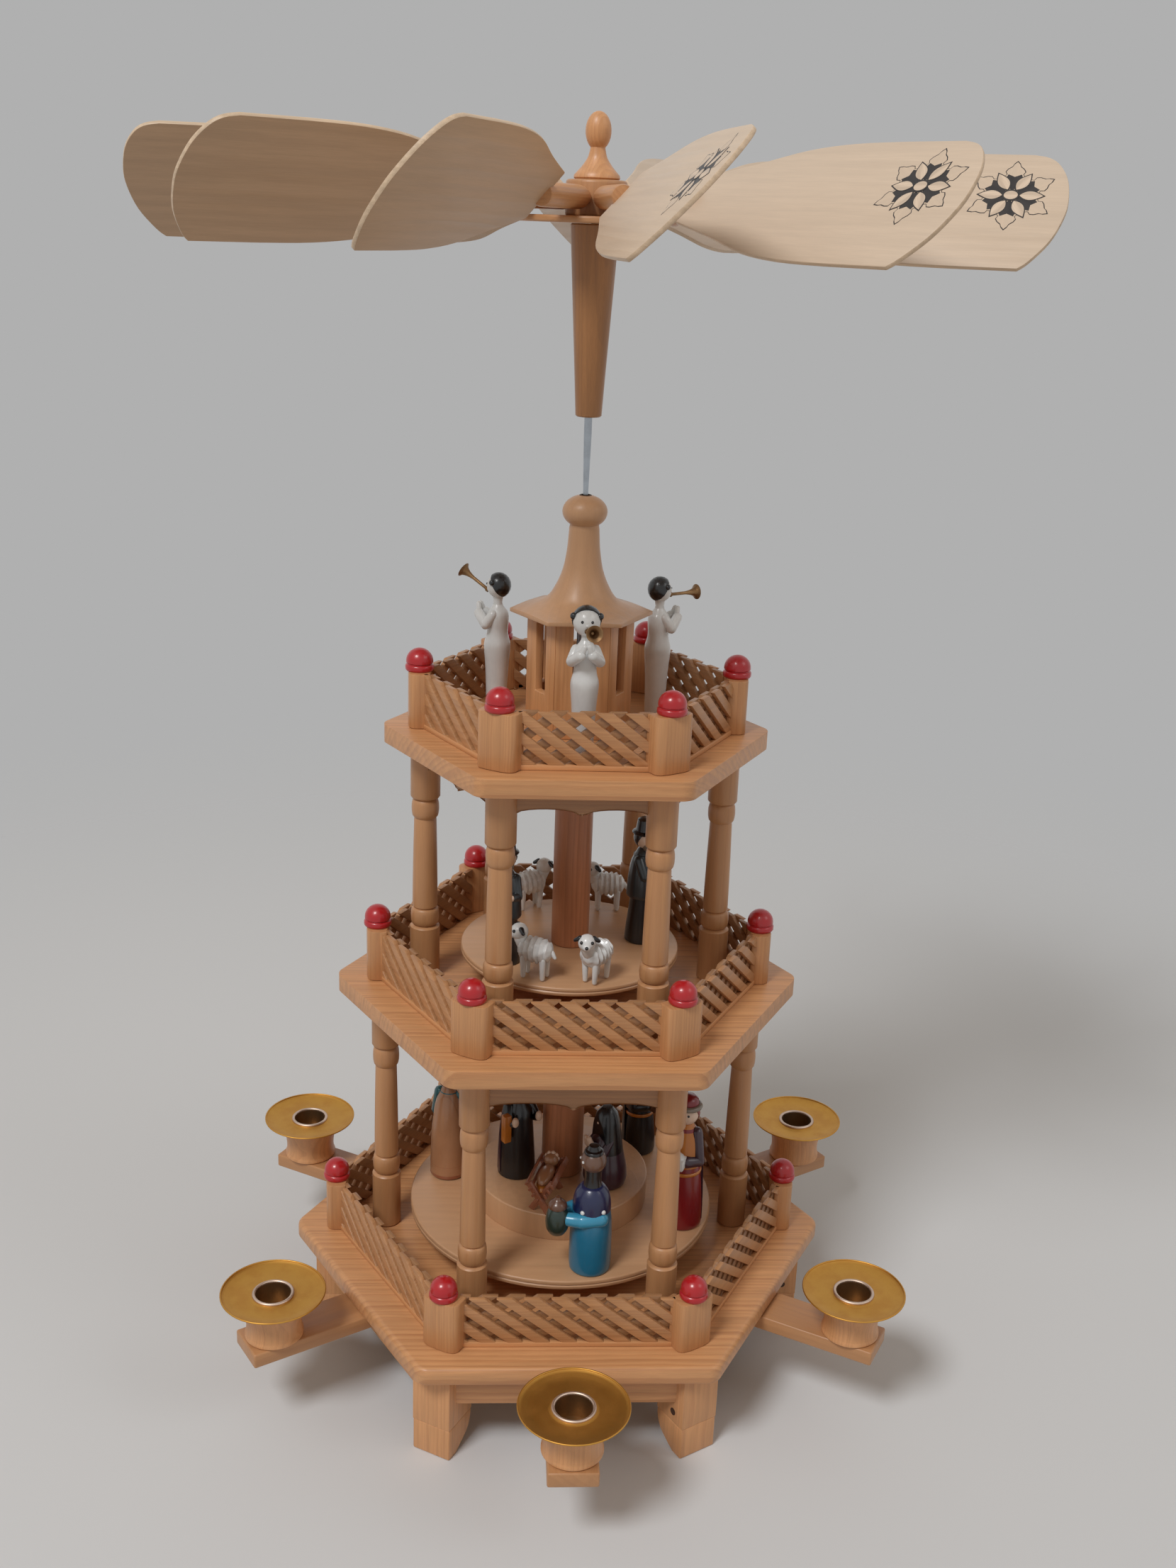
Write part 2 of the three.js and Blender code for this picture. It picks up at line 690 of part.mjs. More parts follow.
const ringTop = turntableFoot[0] + turntableThickness[0];
const kings = kingHeight.map((height, index) => king(height, kingSkirtRadius[index], kingBrimRadius[index]));
stationFigure(rotor, "king_blue", kings[0], paint.lightBlue, ringTop, -80, 61, -90);
stationFigure(rotor, "king_red", kings[1], paint.red, ringTop, -24, 61, -90);
stationFigure(rotor, "king_green", kings[2], paint.teal, ringTop, 166, 60, -90);
const driver = king(driverHeight, driverSkirtRadius, 6);
stationFigure(rotor, "camel_driver", driver, paint.black, ringTop, 44, 56, -90);
stationFigure(rotor, "crib_father", shepherd(fatherHeight, fatherBrimRadius), paint.green, stageTop, -172, 22, 112);
const mother = kneelingFigure(motherHeight, motherSkirtRadius);
stationFigure(rotor, "crib_mother", mother, paint.purple, stageTop, -30, 23, -121);
stationFigure(rotor, "manger", manger(), pine, stageTop, -107, 28, 90);

export default pyramid;
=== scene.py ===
# Christmas pyramid: the finished surfaces of its wood, brass and painted pieces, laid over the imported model.
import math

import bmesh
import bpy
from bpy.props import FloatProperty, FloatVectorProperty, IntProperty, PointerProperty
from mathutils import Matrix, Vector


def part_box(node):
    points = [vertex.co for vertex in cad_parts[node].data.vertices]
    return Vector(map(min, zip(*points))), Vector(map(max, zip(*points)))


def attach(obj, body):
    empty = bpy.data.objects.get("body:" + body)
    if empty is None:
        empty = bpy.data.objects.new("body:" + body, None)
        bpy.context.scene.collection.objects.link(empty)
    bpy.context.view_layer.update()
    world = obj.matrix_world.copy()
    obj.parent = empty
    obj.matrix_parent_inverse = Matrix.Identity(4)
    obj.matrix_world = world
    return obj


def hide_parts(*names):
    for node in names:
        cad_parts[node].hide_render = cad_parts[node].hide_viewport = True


bl_info = {
    "name": "Christmas pyramid",
    "version": (1, 0, 0),
    "blender": (4, 5, 0),
    "location": "3D View > Sidebar > Pyramid",
    "description": "Builds the turned, sawn and painted pieces of a candle-driven christmas pyramid",
    "category": "Add Mesh",
}

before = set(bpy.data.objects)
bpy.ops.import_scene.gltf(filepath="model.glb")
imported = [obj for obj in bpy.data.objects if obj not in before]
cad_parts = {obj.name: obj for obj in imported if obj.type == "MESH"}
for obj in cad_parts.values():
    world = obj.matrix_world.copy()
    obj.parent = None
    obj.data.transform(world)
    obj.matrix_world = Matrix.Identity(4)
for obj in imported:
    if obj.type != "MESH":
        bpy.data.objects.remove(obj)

# Shapes are written in millimetres, and each finished piece is brought to metres
MM = 0.001

# The six-sided plan, with azimuths in degrees from X
SIDES = 6
STEP = 360 / SIDES
FRONT = -90
APOTHEM = math.cos(math.pi / SIDES)
STOREYS = ("lower", "middle", "upper")

# Points nearer to each other than this are one point
WELD = 1e-4


def box(node):
    """The lowest and highest corner of a node of the model, in millimetres."""
    low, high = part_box(node)
    return low / MM, high / MM


def top(node):
    return box(node)[1].z


def tall(node):
    low, high = box(node)
    return high.z - low.z


def shade(red, green, blue):
    """A colour read off a screen, as the shader's linear values."""
    parts = [part / 255 for part in (red, green, blue)]
    return (*[part / 12.92 if part < 0.04045 else ((part + 0.055) / 1.055) ** 2.4 for part in parts], 1.0)


def length(name, about, value):
    return FloatProperty(name=name, description=about, default=value * MM, min=0.0, unit="LENGTH",
                         precision=5)


def number(name, about, value, low, high):
    return IntProperty(name=name, description=about, default=value, min=low, max=high)


def colour(name, about, *value):
    return FloatVectorProperty(name=name, description=about, default=shade(*value), size=4, min=0, max=1,
                               subtype="COLOR")


class PyramidSizes(bpy.types.PropertyGroup):
    """Sizes of the finished pieces that a user would change."""

    deck_corner: length("Deck corner round", "Radius of the six corners of a deck", 8)
    deck_edge: length("Deck edge round", "Radius on the upper edge of a deck", 2.2)
    column_circle_low: length("Lower column circle", "Distance of the lower columns from the spindle", 83.6)
    column_circle_high: length("Upper column circle", "Distance of the upper columns from the spindle", 65.9)
    column_radius: length("Column radius", "Radius of a column's plain head and foot", 6.7)
    valance_low: length("Lower valance", "Height of the scalloped boards under the middle deck", 19.5)
    valance_high: length("Upper valance", "Height of the scalloped boards under the upper deck", 12.5)
    slat_pitch: length("Slat pitch", "Distance from slat to slat along a fence panel", 11.7)
    slat_gap: length("Slat gap", "Open width between two slats along a fence panel", 4.8)
    fence_rail: length("Fence rail", "Height of the solid strip along the foot of a fence panel", 2.2)
    fence_height: length("Fence height", "Height of the fence panels and posts", 24)
    post_width: length("Post width", "Width of a fence post", 17.5)
    post_depth: length("Post depth", "Depth of a fence post", 9.5)
    cap_radius: length("Cap radius", "Radius of the collar of a post's painted cap", 6.2)
    cap_height: length("Cap height", "Height of a post's painted cap", 9.7)
    candle_circle: length("Candle circle", "Distance of the candles from the spindle", 148)
    arm_width: length("Arm width", "Width of a candle arm", 21)
    plate_radius: length("Drip plate radius", "Outer radius of a brass drip plate", 23)
    socket_radius: length("Socket radius", "Inner radius of a candle socket", 7.7)
    blade_thickness: length("Blade thickness", "Thickness of a wing blade", 1.8)
    rosette_radius: length("Rosette radius", "Reach of the rosette drawn on a wing blade", 16.7)
    ring_spacing: length("Growth ring spacing", "Distance from one growth ring of the pine to the next", 2.2)
    rosette_petals: number("Rosette petals", "Petals of a rosette", 6, 5, 12)
    turning_steps: number("Turning steps", "Facets round a column", 40, 12, 96)


class PyramidColours(bpy.types.PropertyGroup):
    """Colours of the finishes that a user would change."""

    pine_light: colour("Pine, light", "Early wood of the varnished pine", 204, 150, 102)
    pine_dark: colour("Pine, dark", "Late wood of the varnished pine", 164, 104, 62)
    stained_light: colour("Stained pine, light", "Early wood of the trunks", 190, 126, 88)
    stained_dark: colour("Stained pine, dark", "Late wood of the trunks", 156, 98, 66)
    lime_light: colour("Lime wood, light", "Light streaks of the wing blades", 216, 196, 174)
    lime_dark: colour("Lime wood, dark", "Dark streaks of the wing blades", 204, 182, 158)
    brass: colour("Brass", "Satin brass of the drip plates", 200, 150, 72)
    nickel: colour("Nickel", "Rolled ring of the candle sockets", 214, 190, 172)
    red: colour("Red paint", "Caps of the fence posts", 178, 20, 30)
    white: colour("White paint", "Angels, sheep and pearls", 224, 227, 228)
    face: colour("Face paint", "Faces and hands", 230, 204, 184)
    sky: colour("Light blue paint", "Sleeves of the first king", 54, 146, 182)
    blue: colour("Blue paint", "Robe of the first king", 32, 116, 152)
    umber: colour("Umber paint", "Face of the first king", 112, 82, 66)
    teal: colour("Teal paint", "Coat and sleeves of the third king", 20, 96, 106)
    navy: colour("Navy paint", "Hood of the first king", 26, 34, 74)
    black: colour("Black paint", "Hats, hair and gowns", 15, 14, 16)
    plum: colour("Plum paint", "Capes, cloak and the kneeling figure's dress", 60, 34, 48)
    wine: colour("Wine paint", "Skirt of the second king", 128, 20, 28)
    slate: colour("Slate paint", "Capes of the herdsmen", 40, 47, 51)
    green: colour("Green paint", "The vessel in the first king's hands", 30, 48, 40)
    amber: colour("Amber paint", "Chest, skirt and straw", 194, 118, 36)
    tan: colour("Tan paint", "The child's blanket", 168, 122, 88)
    rust: colour("Rust paint", "The manger and the third king's hem", 156, 96, 68)
    brown: colour("Brown paint", "Beards and lids", 92, 58, 40)
    grey: colour("Grey paint", "Beards", 128, 118, 106)
    backdrop: colour("Backdrop", "Floor and backdrop behind the pyramid", 176, 176, 176)


def size(name):
    """A length of the sidebar, in millimetres."""
    return getattr(bpy.context.scene.pyramid_sizes, name) / MM


# Mesh work

# Ways the fibres run in a sub-piece: along X as they stand, or up along Z
ALONG_X = Matrix.Identity(3)
ALONG_Z = Matrix.Rotation(math.pi / 2, 3, "Y")


def blank():
    """An empty mesh under way. Each vertex also keeps its place in the piece's own wood, for the grain."""
    bm = bmesh.new()
    bm.verts.layers.float_vector.new("own")
    return bm


def turned_to(azimuth):
    return Matrix.Rotation(math.radians(azimuth), 4, "Z")


def moved(x, y=0.0, z=0.0):
    return Matrix.Translation((x, y, z))


def tilted(angle, axis):
    return Matrix.Rotation(math.radians(angle), 4, axis)


def join(target, source):
    """Adds a mesh under way to another as it stands."""
    mesh = bpy.data.meshes.new("under_way")
    source.to_mesh(mesh)
    target.from_mesh(mesh)
    bpy.data.meshes.remove(mesh)
    source.free()


def put(target, source, place=None, finish=0, fibres=ALONG_X, cut=(0, 70, 24), seed=0):
    """Sets a sub-piece in its place in a piece. cut is where it was sawn from, measured from the pith, and
    seed moves that through the log, so that no two boards show the same grain."""
    layer = source.verts.layers.float_vector["own"]
    along, across, up = cut
    along += 173 * seed
    across += 29 * math.sin(2.4 * seed)
    up += 17 * math.sin(4.1 * seed)
    shift = Vector((along, across, up))
    for vert in source.verts:
        vert[layer] = fibres @ vert.co + shift
    if finish is not None:
        for face in source.faces:
            face.material_index = finish
    if place is not None:
        source.transform(place)
    join(target, source)


def creases(bm, angle=35):
    limit = math.radians(angle)
    return [edge for edge in bm.edges if edge.is_manifold and edge.calc_face_angle() > limit]


def lying(low, high):
    """Picks the edges that lie between two heights."""
    return lambda edge: all(low < vert.co.z < high for vert in edge.verts)


def soften(bm, radius, segments=2, angle=35, keep=None):
    """Sands the sharp edges of a board round."""
    edges = [edge for edge in creases(bm, angle) if keep is None or keep(edge)]
    bmesh.ops.bevel(bm, geom=edges, offset=radius, offset_type="OFFSET", segments=segments, profile=0.5,
                    affect="EDGES", clamp_overlap=True, material=-1)
    return bm


def thicken(bm, height):
    """Raises flat faces into a board."""
    grown = bmesh.ops.extrude_face_region(bm, geom=bm.faces[:])["geom"]
    lid = [item for item in grown if isinstance(item, bmesh.types.BMVert)]
    bmesh.ops.translate(bm, verts=lid, vec=(0, 0, height))
    bmesh.ops.recalc_face_normals(bm, faces=bm.faces)
    return bm


def prism(outline, height, bottom=0.0):
    """A board of an outline in X and Y, from bottom up."""
    bm = blank()
    bm.faces.new([bm.verts.new((x, y, bottom)) for x, y in outline])
    return thicken(bm, height)


def upright(bm):
    """Turns a board drawn in X and Y so that its outline stands in X and Z, with its thickness along Y."""
    bm.transform(Matrix.Rotation(math.pi / 2, 4, "X"))
    return bm


def plank(x0, x1, y0, y1, z0, z1):
    return prism([(x0, y0), (x1, y0), (x1, y1), (x0, y1)], z1 - z0, z0)


def saw(bm, point, normal):
    """Cuts off what lies past a plane and closes the cut."""
    geom = bm.verts[:] + bm.edges[:] + bm.faces[:]
    done = bmesh.ops.bisect_plane(bm, geom=geom, dist=WELD, plane_co=point, plane_no=normal,
                                  clear_outer=True)
    rim = [item for item in done["geom_cut"] if isinstance(item, bmesh.types.BMEdge)]
    if rim:
        bmesh.ops.edgenet_fill(bm, edges=rim)
    return bm


def notched_board(apothem, thickness, low, high, notch, notch_foot):
    """One of six boards round the spindle, notched from above to a width each side of its middle and mitred
    at its ends. It stands on the front side."""
    half_step = math.radians(STEP / 2)
    half = apothem * math.tan(half_step)
    outline = [(-half, low), (half, low), (half, high), (notch, high), (notch, notch_foot),
               (-notch, notch_foot), (-notch, high), (-half, high)]
    bm = upright(prism(outline, thickness))
    bm.transform(moved(0, thickness - apothem, 0))
    for side in (-1, 1):
        saw(bm, (0, 0, 0), (side * math.cos(half_step), math.sin(half_step), 0))
    return bm


def turn(profile, steps=40):
    """A turned piece about Z. Its profile of radius and height starts and ends on the axis or closes."""
    bm = blank()
    verts = [bm.verts.new((radius, 0, height)) for radius, height in profile]
    edges = [bm.edges.new(pair) for pair in zip(verts, verts[1:])]
    bmesh.ops.spin(bm, geom=verts + edges, cent=(0, 0, 0), axis=(0, 0, 1), angle=math.tau, steps=steps,
                   use_merge=True)
    bmesh.ops.remove_doubles(bm, verts=bm.verts, dist=WELD)
    bmesh.ops.recalc_face_normals(bm, faces=bm.faces)
    return bm


def eased(t, p, q, r, s):
    """The value at share t of the way from q to r, on a smooth line through p, q, r and s."""
    square = 2 * p - 5 * q + 4 * r - s
    cube = 3 * q - p - 3 * r + s
    return 0.5 * (2 * q + (r - p) * t + square * t * t + cube * t**3)


def flow(points, steps=4):
    """A smooth line through points."""
    ends = [points[0], *points, points[-1]]
    line = []
    for near in zip(ends, ends[1:], ends[2:], ends[3:]):
        line += [tuple(eased(step / steps, *values) for values in zip(*near)) for step in range(steps)]
    return [(max(x, 0.0), *rest) for x, *rest in line] + [points[-1]]


def ellipse(across, up, angles, middle=(0.0, 0.0)):
    """Points of an ellipse at angles in degrees."""
    turns = [math.radians(angle) for angle in angles]
    return [(middle[0] + across * math.cos(a), middle[1] + up * math.sin(a)) for a in turns]


def arc(middle, radius, start, end, steps=6):
    """Points of an arc, by angles in degrees."""
    angles = [start + (end - start) * step / steps for step in range(steps + 1)]
    return ellipse(radius, radius, angles, middle)


def bead(radius, height, half, bulge, steps=6):
    """Profile points of a turned bead whose middle is at a height."""
    turns = [math.pi * step / steps for step in range(steps + 1)]
    return [(radius + bulge * math.sin(a), height - half * math.cos(a)) for a in turns]


def ball(radius, steps=20, squash=1.0):
    """A turned ball, or an egg where squash isn't one."""
    turns = [math.pi * step / 10 for step in range(11)]
    profile = [(radius * math.sin(a), -radius * squash * math.cos(a)) for a in turns]
    profile[0] = (0.0, -radius * squash)
    profile[-1] = (0.0, radius * squash)
    return turn(profile, steps)


def between(start, end):
    """The placing that takes a piece drawn up Z from start to end."""
    way = Vector(end) - Vector(start)
    return Matrix.Translation(start) @ way.to_track_quat("Z", "Y").to_matrix().to_4x4()


def limb(target, start, end, first, last, finish=0, steps=14):
    """A round bar with rounded ends from start to end."""
    reach = (Vector(end) - Vector(start)).length
    foot = ellipse(first, first, (-60, -30, 0))
    head = ellipse(last, last, (0, 30, 60), (0, reach))
    bar = turn([(0.0, -first), *foot, *head, (0.0, reach + last)], steps)
    put(target, bar, between(start, end), finish, ALONG_Z)


def around(count, start=0.0):
    return [start + index * 360 / count for index in range(count)]


def make(name, bm, finishes, body, nodes=()):
    """Brings a piece to metres, gives it finishes and a body, and lets it stand for nodes of the model."""
    bm.transform(Matrix.Scale(MM, 4))
    for edge in bm.edges:
        edge.smooth = True
    for edge in creases(bm, 38):
        edge.smooth = False
    for face in bm.faces:
        face.smooth = True
    mesh = bpy.data.meshes.new(name)
    bm.to_mesh(mesh)
    bm.free()
    piece = bpy.data.objects.new(name, mesh)
    bpy.context.scene.collection.objects.link(piece)
    for finish in finishes:
        mesh.materials.append(finish)
    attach(piece, body)
    if nodes:
        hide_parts(*nodes)


def make_turned(name, shape, finish, body, node, fibres=ALONG_Z, cut=(0, 0, 0), seed=0):
    """Makes a piece of one turned shape that stands on the lowest point of its node."""
    bm = blank()
    put(bm, shape, moved(0, 0, box(node)[0].z), 0, fibres, cut, seed)
    make(name, bm, [finish], body, [node])


# Finishes


class Tree:
    """Short calls that add and join shader nodes."""

    def __init__(self, tree):
        self.tree = tree

    def add(self, kind, inputs=None, **settings):
        node = self.tree.nodes.new("ShaderNode" + kind)
        for name, value in settings.items():
            setattr(node, name, value)
        for key, value in (inputs or {}).items():
            self.feed(node.inputs[key], value)
        return node

    def feed(self, socket, value):
        if isinstance(value, bpy.types.NodeSocket):
            self.tree.links.new(value, socket)
        else:
            socket.default_value = value

    def sum(self, operation, *values):
        inputs = dict(enumerate(values))
        return self.add("Math", inputs, operation=operation).outputs[0]

    def centred(self, value):
        """A value between 0 and 1, brought to lie about 0."""
        return self.sum("SUBTRACT", value, 0.5)

    def stretch(self, vector, scale):
        return self.add("VectorMath", {0: vector, 1: scale}, operation="MULTIPLY").outputs[0]

    def reach(self, vector):
        return self.add("VectorMath", {0: vector}, operation="LENGTH").outputs["Value"]

    def noise(self, vector, scale, detail=2.0, roughness=0.5):
        inputs = {"Vector": vector, "Scale": scale, "Detail": detail, "Roughness": roughness}
        return self.add("TexNoise", inputs).outputs["Fac"]

    def line_noise(self, value, scale, detail):
        """Noise along a single value."""
        inputs = {"W": value, "Scale": scale, "Detail": detail}
        return self.add("TexNoise", inputs, noise_dimensions="1D").outputs["Fac"]

    def ease(self, value, low, high, out_low=0.0, out_high=1.0):
        inputs = {"Value": value, "From Min": low, "From Max": high, "To Min": out_low, "To Max": out_high}
        return self.add("MapRange", inputs, interpolation_type="SMOOTHSTEP").outputs["Result"]

    def mix(self, share, first, second, blend="MIX"):
        node = self.add("Mix", data_type="RGBA", blend_type=blend)
        for key, value in zip((0, 6, 7), (share, first, second)):
            self.feed(node.inputs[key], value)
        return node.outputs[2]

    def toned(self, paint, tone):
        """A colour made lighter or darker by a factor."""
        factor = self.add("CombineColor", {"Red": tone, "Green": tone, "Blue": tone}).outputs[0]
        return self.mix(1.0, paint, factor, "MULTIPLY")


def group(name, inputs):
    """A new node group with named sockets, its input and output nodes, and the calls that fill it."""
    tree = bpy.data.node_groups.new(name, "ShaderNodeTree")
    for label, kind, *default in inputs:
        socket = tree.interface.new_socket(label, in_out="INPUT", socket_type="NodeSocket" + kind)
        if default:
            socket.default_value = default[0]
    for label, kind in (("Color", "Color"), ("Roughness", "Float"), ("Height", "Float")):
        tree.interface.new_socket(label, in_out="OUTPUT", socket_type="NodeSocket" + kind)
    calls = Tree(tree)
    return calls, tree.nodes.new("NodeGroupInput").outputs, tree.nodes.new("NodeGroupOutput").inputs


def growth_rings():
    """Rings round a pith that runs along X of the wood, wandering a little, with fibres between them."""
    calls, given, out = group("Growth rings", [
        ("Vector", "Vector"), ("Light", "Color"), ("Dark", "Color"), ("Spacing", "Float", 3.0),
        ("Strength", "Float", 0.8), ("Wander", "Float", 5.0), ("Figure", "Float", 1.0),
    ])
    vector = given["Vector"]
    slow = calls.noise(calls.stretch(vector, (0.007, 0.03, 0.03)), 1.0, 2.0)
    wander = calls.sum("MULTIPLY", calls.centred(slow), given["Wander"])
    ripple = calls.sum("MULTIPLY", calls.noise(calls.stretch(vector, (0.05, 0.25, 0.25)), 1.0, 1.0), 0.9)
    across = calls.reach(calls.stretch(vector, (0, 1, 1)))
    radius = calls.sum("ADD", calls.sum("ADD", across, wander), ripple)
    even = calls.sum("DIVIDE", radius, given["Spacing"])
    loose = calls.line_noise(calls.sum("MULTIPLY", even, 0.28), 1.0, 1.0)
    phase = calls.sum("ADD", even, calls.sum("MULTIPLY", loose, 2.6))
    saw_tooth = calls.sum("FRACT", phase)
    rise = calls.ease(saw_tooth, 0.2, 0.9)
    fall = calls.ease(saw_tooth, 0.93, 1.0, 1.0, 0.0)
    ring = calls.add("TexWhiteNoise", {"W": calls.sum("FLOOR", phase)}, noise_dimensions="1D")
    depth = calls.sum("MULTIPLY_ADD", ring.outputs["Value"], 0.6, 0.4)
    late = calls.sum("MULTIPLY", calls.sum("MULTIPLY", rise, fall), depth)
    wood = calls.mix(calls.sum("MULTIPLY", late, given["Strength"]), given["Light"], given["Dark"])
    fibre = calls.noise(calls.stretch(vector, (0.12, 3.4, 3.4)), 1.0, 3.0, 0.6)
    streak = calls.noise(calls.stretch(vector, (0.02, 0.35, 0.35)), 1.0, 2.0)
    fibre_shade = calls.ease(fibre, 0.3, 0.75, 0.9, 1.07)
    streak_shade = calls.ease(streak, 0.3, 0.7, 0.88, 1.08)
    figure = calls.sum("SUBTRACT", calls.sum("MULTIPLY", fibre_shade, streak_shade), 1.0)
    tone = calls.sum("MULTIPLY_ADD", figure, given["Figure"], 1.0)
    calls.feed(out["Color"], calls.toned(wood, tone))
    gloss = calls.sum("MULTIPLY_ADD", late, -0.1, 0.44)
    calls.feed(out["Roughness"], calls.sum("MULTIPLY_ADD", fibre, 0.12, gloss))
    calls.feed(out["Height"], calls.sum("MULTIPLY_ADD", late, 0.5, calls.sum("MULTIPLY", fibre, 0.6)))
    return calls.tree


def paint_film():
    """A brushed coat of paint: slight streaks of tone, rubbed thin places and orange-peel bumps."""
    calls, given, out = group("Paint film", [
        ("Vector", "Vector"), ("Paint", "Color"), ("Streaks", "Float", 0.12), ("Rubbed", "Float", 0.08),
    ])
    vector = given["Vector"]
    brushed = calls.noise(calls.stretch(vector, (0.25, 0.8, 0.8)), 1.0, 3.0, 0.6)
    cloudy = calls.noise(vector, 0.16, 2.0)
    peel = calls.noise(vector, 1.3, 2.0)
    tone = calls.sum("MULTIPLY_ADD", calls.centred(brushed), given["Streaks"], 1.0)
    tone = calls.sum("MULTIPLY_ADD", calls.centred(cloudy), 0.18, tone)
    worn = calls.ease(calls.noise(vector, 0.9, 4.0, 0.7), 0.66, 0.8)
    thin = calls.sum("MULTIPLY", worn, given["Rubbed"])
    bare_wood = shade(190, 150, 110)
    calls.feed(out["Color"], calls.mix(thin, calls.toned(given["Paint"], tone), bare_wood))
    calls.feed(out["Roughness"], calls.sum("MULTIPLY_ADD", brushed, 0.16, 0.24))
    calls.feed(out["Height"], calls.sum("ADD", peel, calls.sum("MULTIPLY", brushed, 0.5)))
    return calls.tree


def spun_metal():
    """Metal spun on a lathe: fine rings round its axis, dull patches and a darker film in places."""
    calls, given, out = group("Spun metal", [
        ("Vector", "Vector"), ("Metal", "Color"), ("Film", "Color"), ("Film Share", "Float", 0.3),
    ])
    vector = given["Vector"]
    rings = calls.line_noise(calls.reach(calls.stretch(vector, (1, 1, 0.6))), 2.2, 3.0)
    patches = calls.noise(vector, 0.11, 4.0, 0.6)
    specks = calls.ease(calls.noise(vector, 0.7, 3.0, 0.6), 0.68, 0.8)
    film = calls.sum("MULTIPLY", calls.ease(patches, 0.35, 0.7), given["Film Share"])
    film = calls.sum("MINIMUM", calls.sum("MULTIPLY_ADD", specks, 0.15, film), 1.0)
    calls.feed(out["Color"], calls.mix(film, given["Metal"], given["Film"]))
    dull = calls.sum("MULTIPLY_ADD", film, 0.2, 0.37)
    calls.feed(out["Roughness"], calls.sum("MULTIPLY_ADD", rings, 0.1, dull))
    calls.feed(out["Height"], rings)
    return calls.tree


# Kinds of varnished pine: share of the usual ring spacing, strength of the rings, how far they wander,
# strength of the fibres, and how light the wood is
PINES = {
    "varnished_pine": (1.3, 0.5, 5.0, 0.7, 1.06),
    "turned_pine": (0.7, 0.32, 3.0, 0.6, 0.94),
    "slat_pine": (0.7, 0.35, 3.0, 0.7, 0.84),
    # A darker copy of the pine, painted shade for the back layer of the fence slats and for the valances under
    # the decks
    "shade_darkened_pine": (0.7, 0.4, 3.0, 0.7, 0.62),
    "smooth_pine": (1.6, 0.18, 3.0, 0.4, 0.84),
    "pale_pine": (0.7, 0.3, 3.0, 0.6, 1.12),
}
VARNISH = {"Coat_Weight": 0.3, "Coat_Roughness": 0.32}
STAIN = {"Coat_Weight": 0.2, "Coat_Roughness": 0.25}
PAINT = {"Coat_Weight": 0.35, "Coat_Roughness": 0.12}


class Finishes:
    """The materials of the pyramid, each made once and then shared."""

    def __init__(self):
        self.colours = bpy.context.scene.pyramid_colours
        self.groups = {"wood": growth_rings(), "paint": paint_film(), "metal": spun_metal()}
        self.made = {}

    def start(self, name, effect, values, bump, **settings):
        """A material whose colour, roughness and relief come from one of the effects."""
        if name in self.made:
            return self.made[name]
        material = bpy.data.materials.new(name)
        material.use_nodes = True
        calls = Tree(material.node_tree)
        shader = material.node_tree.nodes["Principled BSDF"]
        own = calls.add("Attribute", attribute_name="own").outputs["Vector"]
        node = calls.add("Group", node_tree=self.groups[effect])
        for key, value in {"Vector": own, **values}.items():
            calls.feed(node.inputs[key], value)
        calls.feed(shader.inputs["Base Color"], node.outputs["Color"])
        calls.feed(shader.inputs["Roughness"], node.outputs["Roughness"])
        relief = calls.add("Bump", {"Height": node.outputs["Height"], "Distance": bump, "Strength": 0.6})
        calls.feed(shader.inputs["Normal"], relief.outputs["Normal"])
        for socket, value in settings.items():
            shader.inputs[socket.replace("_", " ")].default_value = value
        self.made[name] = material
        return material

    def wood(self, name, light, dark, spacing, strength=0.8, wander=5.0, figure=1.0, bump=0.00012,
             **settings):
        values = {"Light": tuple(light), "Dark": tuple(dark), "Spacing": spacing, "Strength": strength,
                  "Wander": wander, "Figure": figure}
        return self.start(name, "wood", values, bump, **settings)

    def pine(self, name):
        """One of the kinds of varnished pine."""
        share, strength, wander, figure, tint = PINES[name]
        rings = size("ring_spacing") * share
        paints = (self.colours.pine_light, self.colours.pine_dark)
        light, dark = ([part * tint for part in paint[:3]] + [1.0] for paint in paints)
        return self.wood(name, light, dark, rings, strength, wander, figure, **VARNISH)

    def disc_pine(self):
        """Even pine of the turntables and the roof, greyer than the rest."""
        light, dark = shade(198, 154, 115), shade(162, 114, 78)
        return self.wood("disc_pine", light, dark, size("ring_spacing") * 2.4, 0.1, 3.0, 0.3, **VARNISH)

    def stained(self):
        """The reddish wood of the trunks."""
        light, dark = self.colours.stained_light, self.colours.stained_dark
        return self.wood("stained_pine", light, dark, 2.4, 0.4, 4.0, 0.7, **STAIN)

    def sleeve_wood(self):
        """The golden brown wood of the spindle sleeve."""
        return self.wood("sleeve_wood", shade(166, 116, 70), shade(134, 88, 48), 2.4, 0.4, 4.0, 0.7, **STAIN)

    def lime(self):
        light, dark = self.colours.lime_light, self.colours.lime_dark
        return self.wood("bare_lime", light, dark, 4.5, 0.2, 9.0, 0.35, 0.00005)

    def paint(self, name):
        values = {"Paint": tuple(getattr(self.colours, name))}
        return self.start(name + "_paint", "paint", values, 0.00004, **PAINT)

    def metal(self, name, metal, film, share):
        values = {"Metal": metal, "Film": film, "Film Share": share}
        return self.start(name, "metal", values, 0.00003, Metallic=1.0)

    def brass(self):
        return self.metal("satin_brass", self.colours.brass, shade(182, 126, 62), 0.4)

    def bronze(self):
        return self.metal("dull_bronze", shade(150, 118, 84), shade(104, 76, 50), 0.6)

    def nickel(self):
        return self.metal("rolled_nickel", self.colours.nickel, shade(150, 138, 126), 0.3)

    def steel(self):
        return self.metal("drawn_steel", shade(168, 174, 180), shade(110, 110, 112), 0.3)


FINISH = {}


def finishes():
    """The shared materials, made at the first piece that needs one."""
    if "all" not in FINISH:
        FINISH["all"] = Finishes()
    return FINISH["all"]


# Decks


